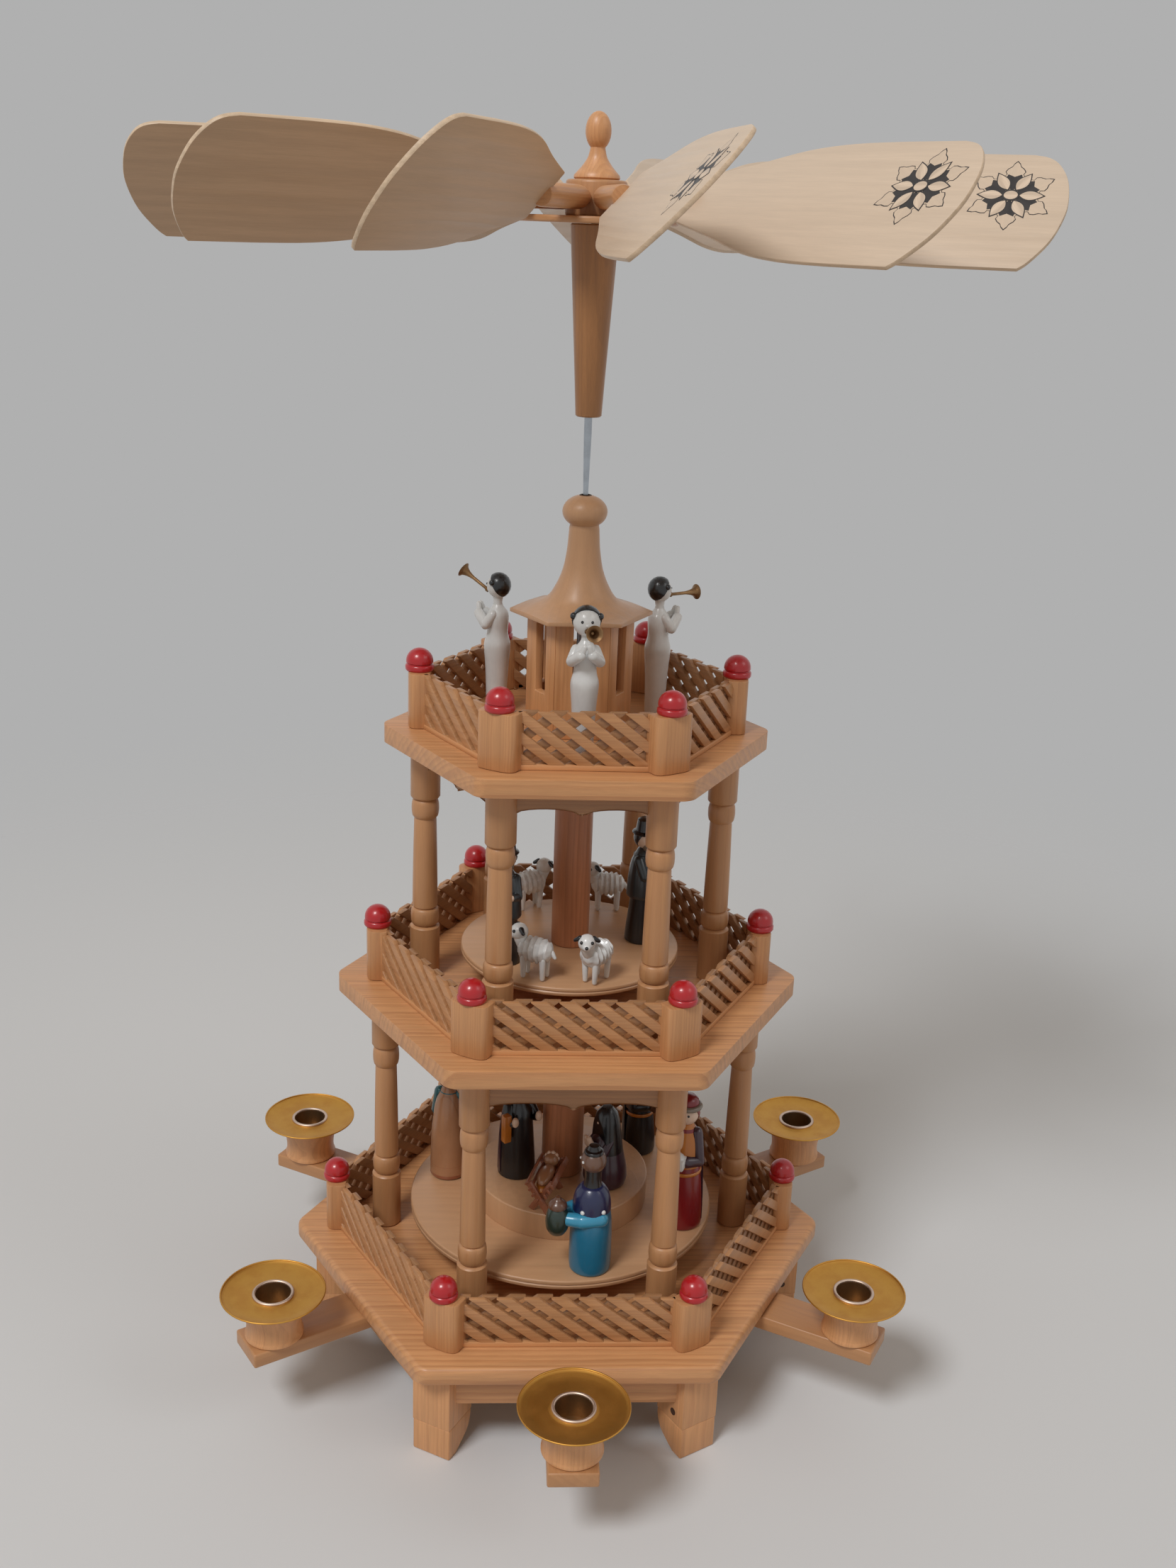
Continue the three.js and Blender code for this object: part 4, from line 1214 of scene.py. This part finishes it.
class Figure:
    """A painted wooden figure that faces X and stands on z = 0, glued up from turned and carved pieces."""

    def __init__(self):
        self.bm = blank()
        self.names = []

    def slot(self, name):
        if name not in self.names:
            self.names.append(name)
        return self.names.index(name)

    def add(self, source, name, place=None, seed=0):
        put(self.bm, source, place, self.slot(name), ALONG_Z, (0, 30, 12), seed)

    def turned(self, profile, name, place=None, steps=28):
        self.add(turn(profile, steps), name, place)

    def limb(self, start, end, first, last, name):
        limb(self.bm, start, end, first, last, self.slot(name))

    def limbs(self, start, end, first, last, name):
        """A limb on each side."""
        for side in (-1, 1):
            mirror = Vector((1, side, 1))
            self.limb(Vector(start) * mirror, Vector(end) * mirror, first, last, name)

    def drop(self, centre, radius, name, squash=1.0, scale=(1, 1, 1), steps=14):
        shape = ball(radius, steps, squash)
        shape.transform(Matrix.Diagonal((*scale, 1)))
        self.add(shape, name, moved(*centre))

    def drops(self, centre, radius, name, squash=1.0):
        """A drop on each side."""
        for side in (-1, 1):
            self.drop(Vector(centre) * Vector((1, side, 1)), radius, name, squash)

    def head(self, height, radius, skin="face"):
        """A doll's head: a turned ball with two eye dots, a small nose and a mouth."""
        self.drop((0, 0, height), radius, skin, 1.06, steps=28)
        self.drops((radius * 0.885, radius * 0.36, height + radius * 0.16), radius * 0.11, "black")
        self.drop((radius - 0.05, 0, height - radius * 0.1), radius * 0.13, skin)
        self.drop((radius * 0.86, 0, height - radius * 0.45), radius * 0.11, "red", 0.5)

    def hair(self, height, radius, name, fringe):
        """A cap of hair over the top and the back of the head."""
        shell = ball(radius * 1.09, 28, 1.04)
        saw(shell, (radius * fringe, 0, 0), (0.86, 0, -0.5))
        self.add(shell, name, moved(-radius * 0.06, 0, height + radius * 0.08))

    def stand(self, name, node, place, body, slot):
        made = [finishes().bronze() if item == "bronze" else finishes().paint(item) for item in self.names]
        self.bm.transform(place)
        make(name, self.bm, made, body, [node])


def station(level, azimuth, radius, facing):
    return turned_to(azimuth) @ moved(radius, 0, level) @ turned_to(facing)


def angel(tilt, aside, head):
    """An angel with bowed arms and a horn. The horn is tilted up and aside by angles in degrees."""
    figure = Figure()
    centre = 62 - head
    chin = centre - head * 0.8
    gown = flow([(4.3, 0.4), (4.5, 4), (4.8, 14), (5.2, 22), (5.8, 29), (5.7, 32), (4.9, 35), (4.6, 38),
                 (4.9, 42), (4.6, 45.4), (2.6, 48)], 3)
    figure.turned([(0, 0), (4, 0), *gown, (1.9, 49.4), (0, 49.6)], "white")
    figure.turned([(0, 48), (2.3, 48), (1.9, 50), (2.4, chin), (0, chin)], "white")
    figure.head(centre, head, "white")
    figure.hair(centre, head, "black", 0.0)
    figure.drops((0.4, head * 0.95, centre + head * 0.42), head * 0.27, "black")
    figure.limbs((0.2, 4, 45), (2.8, 5.7, 40.6), 2.1, 2.3, "white")
    figure.limbs((2.8, 5.7, 40.6), (8.2, 2.4, 44.4), 2.3, 2.2, "white")
    figure.limbs((8.3, 1.9, 44.8), (9.2, 0.9, 48.2), 1.3, 1.1, "white")
    bell = flow([(0.9, 10), (1.3, 12), (2.2, 14), (3.4, 15)])
    hollow = flow([(2, 14.3), (1.1, 12.4), (0.5, 11)], 3)
    horn = [(0, 0), (1.1, 0), (1.15, 1), (0.7, 1.8), (0.75, 9), *bell, (3.3, 15.05), *hollow, (0, 11)]
    mouth = moved(head * 0.95, 0, centre - head * 0.5)
    figure.turned(horn, "bronze", mouth @ turned_to(aside) @ tilted(90 - tilt, "Y"), 30)
    return figure


def shepherd(height, hat):
    """A bearded herdsman in a flared gown and a cape."""
    figure = Figure()
    neck = height - 14
    brim, hem = neck + 7, height * 0.37
    gown = flow([(7.6, 0.5), (7.3, 6), (6.2, 16), (5.6, 24), (5.8, 32)], 3)
    figure.turned([(0, 0), (7.2, 0), *gown, (5, neck - 3), (0, neck - 2)], "black")
    cape = flow([(7.6, height * 0.38), (7.4, height * 0.46), (6.9, height * 0.56), (5.9, height * 0.66),
                 (3.2, neck - 0.5)], 3)
    figure.turned([(6, hem + 1), (7.2, hem), *cape, (2.2, neck + 0.4), (0, neck + 0.4)], "slate")
    figure.head(neck + 4.6, 4.8)
    figure.drop((2.4, 0, neck + 1.9), 3.6, "grey", 1.1, (0.8, 1, 1))
    figure.hair(neck + 4.6, 4.8, "black", 0.15)
    figure.turned([(0, brim), (hat, brim), (hat + 0.3, brim + 0.4), (hat, brim + 0.9), (4.6, brim + 1.4),
                   (4.4, brim + 3), (3.9, height - 0.6), (2.8, height), (0, height)], "black")
    figure.limbs((0.6, 4.6, neck - 5), (4.6, 5.2, neck - 12), 2.4, 2.2, "slate")
    figure.limbs((4.6, 5.2, neck - 12), (8.4, 2.4, neck - 11), 2.1, 1.8, "slate")
    figure.drops((9.2, 1.9, neck - 10.8), 1.5, "face")
    return figure


def sheep(look):
    """A fleecy sheep on four legs that looks aside by an angle in degrees."""
    figure = Figure()
    fleece = turn(flow([(0, -8.4), (2.6, -7.9), (4.3, -6), (5.2, -3), (5.4, 0), (5.2, 3.2), (4.3, 5.8),
                        (2.4, 7.2), (0, 7.6)]), 36)
    for vert in fleece.verts:
        angle, along = math.atan2(vert.co.y, vert.co.x), vert.co.z
        ribs = math.sin(2.6 * along + 0.5 * math.sin(2 * angle))
        curl = 1 + 0.035 * math.sin(7 * angle + along) + 0.11 * ribs
        vert.co.x *= curl
        vert.co.y *= curl
    figure.add(fleece, "white", moved(0, 0, 13) @ tilted(90, "Y"))
    for x in (-4.8, 4.2):
        figure.limbs((x, 2.5, 1.1), (x, 2.8, 10), 1.1, 1.5, "white")
    figure.limb((5.4, 0, 15), (7.2, 0, 18.4), 3.1, 3, "white")
    figure.limb((-8, 0, 13), (-9.4, 0, 10.8), 1.1, 0.8, "white")

    face = Figure()
    face.names = figure.names
    face.drop((0, 0, 0), 4, "white", 1.0, (1, 0.96, 0.96), 20)
    face.drop((2.7, 0, -0.8), 2.1, "white", 1.0, (1.2, 1, 0.9))
    face.drop((4.8, 0, -0.5), 0.8, "black")
    face.drops((2.9, 2.3, 1.2), 0.75, "black")
    face.limbs((-0.2, 3, 2), (-0.6, 5, 0.8), 1.2, 0.85, "black")
    face.bm.transform(moved(7.4, 0, 20.2) @ turned_to(look))
    join(figure.bm, face.bm)
    return figure


def king(height, radius, robe, chest, sleeve, cape, crown, gift, hem=None):
    """A standing king who holds a gift before him."""
    figure = Figure()
    neck = height - 15
    waist, belt = radius * 0.8, neck * 0.55
    skirt = flow([(radius - 0.3, 0.5), (radius, 3), (radius * 0.93, neck * 0.3), (waist, belt),
                  (radius * 0.66, neck * 0.8), (radius * 0.5, neck - 2)], 3)
    figure.turned([(0, 0), (radius - 0.8, 0), *skirt, (2.6, neck), (0, neck)], robe)
    if hem:
        figure.turned([(radius - 2, 0.4), (radius - 0.2, 0.4), (radius + 0.15, 1), (radius + 0.1, 7),
                       (radius - 1, 7.2)], hem)
    inner = (waist - 0.2, belt - 1)
    figure.turned([inner, *bead(waist, belt, 0.9, 0.5), inner], "amber")
    shell = flow([(radius * 0.86, neck * 0.62), (radius * 0.82, neck * 0.75), (radius * 0.64, neck * 0.9),
                  (2.8, neck + 0.6)], 3)
    figure.turned([(0, neck * 0.7), (radius * 0.6, neck * 0.62), *shell, (0, neck + 0.8)], chest)
    fall = flow([(radius * 1.02, neck * 0.05), (radius * 0.98, neck * 0.4), (radius * 0.88, neck * 0.7),
                 (radius * 0.66, neck * 0.92), (3, neck + 1.4)], 3)
    back = turn([(0, neck * 0.06), (radius * 0.8, neck * 0.05), *fall, (0, neck + 1.5)], 28)
    saw(back, (-radius * 0.12, 0, 0), (1, 0, 0.1))
    figure.add(back, cape)
    figure.head(neck + 5.4, 5.2)
    figure.hair(neck + 5.4, 5.2, crown, 0.1)
    brim = neck + 8.4
    figure.turned([(0, brim + 1), (4.8, brim + 1.4), (5.1, brim + 2.8), (4.7, height - 2),
                   (3.2, height - 0.5), (0, height)], crown)
    figure.turned(arc((5.4, brim + 1.2), 1.3, 0, 360, 10), "grey")
    hand, palm = radius * 0.95, neck * 0.7
    elbow = (radius * 0.3, radius * 0.82, neck * 0.68)
    figure.limbs((0.4, radius * 0.55, neck - 3.4), elbow, 2.7, 2.5, sleeve)
    figure.limbs(elbow, (hand * 0.85, 2.8, palm), 2.5, 2.9, sleeve)
    figure.drops((hand, 2.3, palm), 1.7, "face")
    casket = soften(plank(-3.4, 3.4, -3.2, 3.2, 0, 5.2), 0.7)
    figure.add(casket, gift, moved(hand + 1.6, 0, palm - 2))
    figure.turned([(0, 0), (3, 0), (3.1, 0.5), (2, 1.8), (0.9, 2.3), (0.9, 2.8), (0, 3.3)], gift,
                  moved(hand + 1.6, 0, palm + 3.1), 20)
    return figure


def caped_king(height):
    """A dark-skinned king in a glossy cape with pearl buttons, who holds a lidded vessel before him."""
    figure = Figure()
    radius, cape, neck, head = 9.4, 8.3, 3.7, 5.7
    hem, shoulder, centre = height * 0.49, height * 0.68, height - 7.8
    robe = flow([(radius - 0.3, 0.5), (radius, 4), (radius, 14), (radius * 0.97, 24),
                 (radius * 0.86, hem + 2)], 3)
    figure.turned([(0, 0), (radius - 0.8, 0), *robe, (0, hem + 2)], "blue")
    drape = flow([(cape + 0.3, hem), (cape + 0.1, hem + 4), (cape * 0.9, hem + 8), (cape * 0.66, hem + 11),
                  (neck + 0.4, shoulder)])
    figure.turned([(0, hem - 0.6), (cape - 0.6, hem - 0.6), *drape, (0, shoulder)], "navy")
    collar = flow([(neck + 0.6, shoulder - 1), (neck, shoulder + 3), (neck + 0.3, centre - 3.6)], 3)
    figure.turned([(0, shoulder - 1), *collar, (0, centre - 3.4)], "black")
    figure.drop((0, 0, centre), head, "umber", steps=28)
    figure.drops((head * 0.9, head * 0.36, centre + 0.6), head * 0.12, "white")
    figure.turned([(0, height - 4.6), (3.8, height - 4.6), *bead(3.8, height - 3.6, 1, 0.5),
                   (3, height - 2.2), (2.2, height - 0.4), (0, height)], "black", steps=24)
    for azimuth, rise in ((48, 1.6), (114, 1.8)):
        figure.drop(turned_to(azimuth) @ Vector((cape + 0.1, 0, hem + rise)), 1.05, "white", steps=12)
    elbow = (radius * 0.6, radius * 0.62, hem - 2.8)
    figure.limbs((-2.6, radius * 0.68, hem - 2.4), elbow, 3.6, 3.5, "sky")
    figure.limbs(elbow, (radius + 2.6, 3.4, hem - 2.6), 3.4, 3, "sky")
    figure.drops((radius + 5.2, 2.6, hem - 2.4), 1.7, "umber")
    vessel = flow([(3.4, 0.4), (4.9, 3), (5.3, 7), (4.6, 11), (3.2, 13.4)], 3)
    lid = flow([(4.2, 13.8), (3.8, 15.4), (1.5, 17.4)], 3)
    held = moved(radius + 6.4, 1.5, hem - 10.4)
    figure.turned([(0, 0), (2.8, 0), *vessel, (2.8, 13.6), (0, 13.6)], "green", held, 24)
    figure.turned([(0, 13.4), (4.2, 13.4), *lid, (1.1, 18.4), (0, 19)], "brown", held, 24)
    return figure


def father(height):
    """A bearded figure in a long cloak, with both hands held out."""
    figure = Figure()
    neck, brim = height - 13.5, height - 4.4
    gown = flow([(8.9, 0.5), (8.7, 8), (7.9, 20), (6.9, neck - 6)], 3)
    figure.turned([(0, 0), (8.4, 0), *gown, (2.6, neck), (0, neck)], "black")
    drape = flow([(9.2, 2.4), (9, 14), (8.2, 26), (6.4, neck - 4), (3.2, neck + 0.8)], 3)
    cloak = turn([(0, 2), (8.9, 2), *drape, (0, neck + 1)], 28)
    saw(cloak, (0.4, 0, 0), (1, 0, 0.08))
    figure.add(cloak, "plum")
    lantern = soften(plank(-1.9, 1.9, -1.9, 1.9, neck - 19, neck - 5), 0.6)
    figure.add(lantern, "amber", moved(5.6, -9.4, 0))
    figure.head(neck + 4.8, 4.8)
    figure.drop((2.3, 0, neck + 2), 3.4, "brown", 1.15, (0.8, 1, 1))
    figure.hair(neck + 4.8, 4.8, "brown", 0.15)
    figure.turned([(0, brim + 0.2), (5.3, brim), (5.4, brim + 1), (4.4, brim + 1.6), (3.6, height - 0.6),
                   (0, height)], "black")
    elbow = (4, 7.6, neck - 11)
    figure.limbs((0.5, 5.4, neck - 4), elbow, 2.6, 2.4, "black")
    figure.limbs(elbow, (7.2, 6.6, neck - 9.4), 2.4, 2, "black")
    figure.drops((8.6, 6.4, neck - 8.4), 1.7, "face", 1.5)
    return figure


def mother(height):
    """A kneeling figure with folded hands."""
    figure = Figure()
    neck = height - 12.5
    skirt = flow([(9.6, 0.6), (10.4, 4), (10, 9), (8.9, 14), (7.8, 19), (6.4, neck - 4)], 3)
    figure.turned([(0, 0), (8.8, 0), *skirt, (2.4, neck), (0, neck)], "plum")
    figure.drop((-2.6, 0, 4.4), 7.4, "plum", 0.62, (1.1, 1, 1), 24)
    figure.head(neck + 5.4, 4.9)
    hood = flow([(8.6, neck * 0.4), (8.2, neck * 0.62), (6.8, neck), (6.1, neck + 5), (4.8, neck + 9.6)], 3)
    veil = turn([(0, neck * 0.4), *hood, (2.4, height - 0.2), (0, height)], 28)
    saw(veil, (1.6, 0, 0), (0.95, 0, -0.1))
    figure.add(veil, "black")
    elbow = (5, 5.6, neck - 9)
    figure.limbs((0.5, 4.8, neck - 3), elbow, 2.4, 2.2, "plum")
    figure.limbs(elbow, (8.8, 1.2, neck - 5), 2.2, 1.8, "plum")
    figure.limbs((9.2, 1.2, neck - 5), (10.4, 0.9, neck - 1.6), 1.7, 1.4, "face")
    return figure


def manger():
    """A slatted cradle on crossed boards, with straw and a child."""
    figure = Figure()
    half, rim, reach = 13, 15.4, 6
    for y in (-half + 2.2, half - 2.2):
        for lean in (-1, 1):
            leg = soften(plank(-1.5, 1.5, -0.9, 0.9, -8, 9.8), 0.3)
            figure.add(leg, "rust", moved(0, y + 0.95 * lean, 6.9) @ tilted(33 * lean, "Y"))
    for side in (-1, 1):
        for index in range(4):
            slat = soften(plank(-half, half, -0.6, 0.6, -1.3, 1.3), 0.3)
            out = side * (1.2 + (reach - 1.2) * index / 3)
            place = moved(out, 0, 6.4 + (rim - 7) * index / 3) @ turned_to(90) @ tilted(-side * 32, "X")
            figure.add(slat, "rust", place, index)
    figure.drop((0, 0, 10), 4.3, "amber", 0.8, (0.95, 2.6, 1), 24)
    figure.drop((0, -1.8, 13.6), 3.7, "tan", 0.8, (1, 2.3, 1), 24)
    figure.drop((0, 7.6, 16), 3.4, "tan", steps=20)
    for row, count in enumerate((9, 7)):
        spread = 2.7 - 0.9 * row
        for x, z in ellipse(spread, spread, around(count, 20 * row), (0, 16.6)):
            figure.drop((x, 8.6 + row, z), 1.0, "face")
    return figure


class PYRAMID_OT_angels(bpy.types.Operator):
    """Set the three trumpet-blowing angels on the top deck"""

    bl_idname = "pyramid.angels"
    bl_label = "Angels"

    def execute(self, context):
        level = top("upper_deck") + CLEAR
        for index, (tilt, aside, head) in enumerate(((10, 8, 5.6), (0, 0, 5), (30, 0, 5))):
            place = station(level, FRONT + index * 120, radius=41, facing=0)
            figure = angel(tilt, aside, head)
            figure.stand(f"angel_with_horn_{index + 1}", f"angel_{index + 1}", place, "stand", "white_paint")
        return {"FINISHED"}


class PYRAMID_OT_flock(bpy.types.Operator):
    """Set the shepherds and their sheep on the middle turntable"""

    bl_idname = "pyramid.flock"
    bl_label = "Shepherds and sheep"

    def execute(self, context):
        level = top("middle_turntable") + CLEAR
        herdsmen = ((59, 5.9, 6, 33, -50), (58, 5.7, -145, 37, 60))
        for index, (height, hat, azimuth, radius, facing) in enumerate(herdsmen):
            name = f"shepherd_{index + 1}"
            place = station(level, azimuth, radius, facing)
            shepherd(height, hat).stand(name + "_figure", name, place, "rotor", "black_paint")
        for index, (azimuth, facing) in enumerate(((-114, -90), (-77, -52), (63, 117), (115, -90))):
            name = f"sheep_{index + 1}"
            place = station(level, azimuth, radius=42, facing=facing)
            sheep(look=35).stand(name + "_figure", name, place, "rotor", "white_paint")
        return {"FINISHED"}


class PYRAMID_OT_crib_group(bpy.types.Operator):
    """Set the crib group and the kings on the lower turntable"""

    bl_idname = "pyramid.crib_group"
    bl_label = "Crib group and kings"

    def execute(self, context):
        ring = box("lower_turntable")[0].z + TURNTABLE_RIM + CLEAR
        stage = top("lower_turntable") + CLEAR
        wine_king = king(67, 9.4, robe="wine", chest="amber", sleeve="plum", cape="plum", crown="wine",
                         gift="white")
        teal_king = king(62, 8.8, robe="teal", chest="tan", sleeve="teal", cape="tan", crown="wine",
                         gift="amber", hem="rust")
        driver = king(55, 8.6, robe="black", chest="brown", sleeve="black", cape="black", crown="black",
                      gift="brown")
        figures = (
            (caped_king(62), "king_blue", station(ring, -80, 61, -90), "blue_paint"),
            (wine_king, "king_red", station(ring, -24, 61, -90), "red_paint"),
            (teal_king, "king_green", station(ring, 163, 57, -90), "teal_paint"),
            (driver, "camel_driver", station(ring, 44, 56, -90), "black_paint"),
            (father(54), "crib_father", station(stage, -172, 22, 112), "green_paint"),
            (mother(40), "crib_mother", station(stage, -30, 23, -121), "purple_paint"),
            (manger(), "manger", station(stage, -107, 28, 90), "pine"),
        )
        for figure, node, place, slot in figures:
            figure.stand(node + "_figure", node, place, "rotor", slot)
        return {"FINISHED"}


# Stage: floor, lamps and camera, in metres

MIDDLE = Vector((0, 0, 0.26))
SKY = (1.0, 0.88, 0.76, 1.0)
SKY_STRENGTH = 0.35

# The camera, solved from the corners of the decks and the candle circle in the photograph. Its place is
# given before it swings about the spindle, and its angles in degrees
ASIDE, AWAY, ABOVE = 0.00563, 0.68327, 0.50916
PITCH, ROLL, SWING = 18.88, 2.2, -3.71
LENS, SENSOR = 37.52, 36


def area_lamp(name, place, width, power):
    """A round lamp that shines on the middle of the pyramid."""
    lamp = bpy.data.lights.new(name, "AREA")
    lamp.shape = "DISK"
    lamp.size = width
    lamp.energy = power
    holder = bpy.data.objects.new(name, lamp)
    holder.location = place
    holder.rotation_euler = (MIDDLE - Vector(place)).to_track_quat("-Z", "Y").to_euler()
    bpy.context.scene.collection.objects.link(holder)


def world_light(backdrop):
    """An even sky that lights the pyramid softly and shows as the plain backdrop."""
    world = bpy.data.worlds.new("plain_room")
    world.use_nodes = True
    bpy.context.scene.world = world
    calls = Tree(world.node_tree)
    calls.tree.nodes.clear()
    rays = calls.add("LightPath").outputs
    shown = calls.sum("MAXIMUM", rays["Is Camera Ray"], rays["Is Transmission Ray"])
    shown = calls.sum("MAXIMUM", shown, rays["Is Glossy Ray"])
    gleam = calls.sum("MULTIPLY_ADD", rays["Is Glossy Ray"], 0.5, 1.0)
    seen = calls.add("Background", {"Color": backdrop, "Strength": gleam})
    lit = calls.add("Background", {"Color": SKY, "Strength": SKY_STRENGTH})
    blend = calls.add("MixShader", {0: shown, 1: lit.outputs[0], 2: seen.outputs[0]})
    out = calls.add("OutputWorld")
    calls.feed(out.inputs["Surface"], blend.outputs[0])


def floor_finish():
    """Pale paper that fades into the backdrop away from the pyramid."""
    material = bpy.data.materials.new("floor_paper")
    material.use_nodes = True
    calls = Tree(material.node_tree)
    shader = material.node_tree.nodes["Principled BSDF"]
    shader.inputs["Base Color"].default_value = shade(216, 219, 222)
    shader.inputs["Roughness"].default_value = 0.85
    fade = calls.ease(calls.reach(calls.add("TexCoord").outputs["Object"]), 0.25, 1.1)
    clear = calls.add("BsdfTransparent")
    blend = calls.add("MixShader", {0: fade, 1: shader.outputs[0], 2: clear.outputs[0]})
    calls.feed(material.node_tree.nodes["Material Output"].inputs["Surface"], blend.outputs[0])
    return material


def lay_floor():
    bm = bmesh.new()
    bmesh.ops.create_circle(bm, cap_ends=True, segments=64, radius=2.0)
    mesh = bpy.data.meshes.new("floor")
    bm.to_mesh(mesh)
    bm.free()
    floor = bpy.data.objects.new("floor", mesh)
    mesh.materials.append(floor_finish())
    bpy.context.scene.collection.objects.link(floor)


def set_camera():
    """Sets the camera where the photograph was taken."""
    pitch, roll = math.radians(PITCH), math.radians(ROLL)
    swing = Matrix.Rotation(math.radians(SWING), 3, "Z")
    ahead = Vector((0, math.cos(pitch), -math.sin(pitch)))
    up = Vector((0, math.sin(pitch), math.cos(pitch)))
    right = Vector((1, 0, 0))
    side = math.cos(roll) * right + math.sin(roll) * up
    rise = math.cos(roll) * up - math.sin(roll) * right
    axes = Matrix((swing @ side, swing @ rise, swing @ -ahead)).transposed()
    lens = bpy.data.cameras.new("photo_camera")
    lens.lens = LENS
    lens.sensor_width = SENSOR
    camera = bpy.data.objects.new("photo_camera", lens)
    camera.matrix_world = Matrix.Translation(swing @ Vector((ASIDE, -AWAY, ABOVE))) @ axes.to_4x4()
    bpy.context.scene.collection.objects.link(camera)
    bpy.context.scene.camera = camera


class PYRAMID_OT_stage(bpy.types.Operator):
    """Lay the floor, hang the lamps and set the camera where the photograph was taken"""

    bl_idname = "pyramid.stage"
    bl_label = "Stage"

    def execute(self, context):
        lay_floor()
        world_light(tuple(context.scene.pyramid_colours.backdrop))
        area_lamp("key_lamp", (-1.6, -2.1, 3.5), width=1.2, power=88)
        area_lamp("side_lamp", (2.6, -1.2, 2.6), width=1.6, power=10)
        set_camera()
        context.scene.view_settings.view_transform = "Standard"
        return {"FINISHED"}


OPERATORS = (
    PYRAMID_OT_decks, PYRAMID_OT_base, PYRAMID_OT_arcades, PYRAMID_OT_fences, PYRAMID_OT_candle_holders,
    PYRAMID_OT_crown, PYRAMID_OT_rotor, PYRAMID_OT_blades, PYRAMID_OT_angels, PYRAMID_OT_flock,
    PYRAMID_OT_crib_group, PYRAMID_OT_stage,
)


class PYRAMID_PT_panel(bpy.types.Panel):
    """Sizes, colours and pieces of the pyramid"""

    bl_idname = "PYRAMID_PT_panel"
    bl_label = "Christmas pyramid"
    bl_space_type = "VIEW_3D"
    bl_region_type = "UI"
    bl_category = "Pyramid"

    def draw(self, context):
        layout, scene = self.layout, context.scene
        for title, holder in (("Sizes", scene.pyramid_sizes), ("Colours", scene.pyramid_colours)):
            layout.label(text=title)
            for name in type(holder).__annotations__:
                layout.prop(holder, name)
        layout.label(text="Pieces")
        for operator in OPERATORS:
            layout.operator(operator.bl_idname)


CLASSES = (PyramidSizes, PyramidColours, *OPERATORS, PYRAMID_PT_panel)


def register():
    for item in CLASSES:
        bpy.utils.register_class(item)
    bpy.types.Scene.pyramid_sizes = PointerProperty(type=PyramidSizes)
    bpy.types.Scene.pyramid_colours = PointerProperty(type=PyramidColours)


def unregister():
    del bpy.types.Scene.pyramid_sizes
    del bpy.types.Scene.pyramid_colours
    for item in reversed(CLASSES):
        bpy.utils.unregister_class(item)


def main():
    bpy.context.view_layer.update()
    register()
    for operator in OPERATORS:
        group_name, name = operator.bl_idname.split(".")
        getattr(getattr(bpy.ops, group_name), name)()


if __name__ == "__main__":
    main()
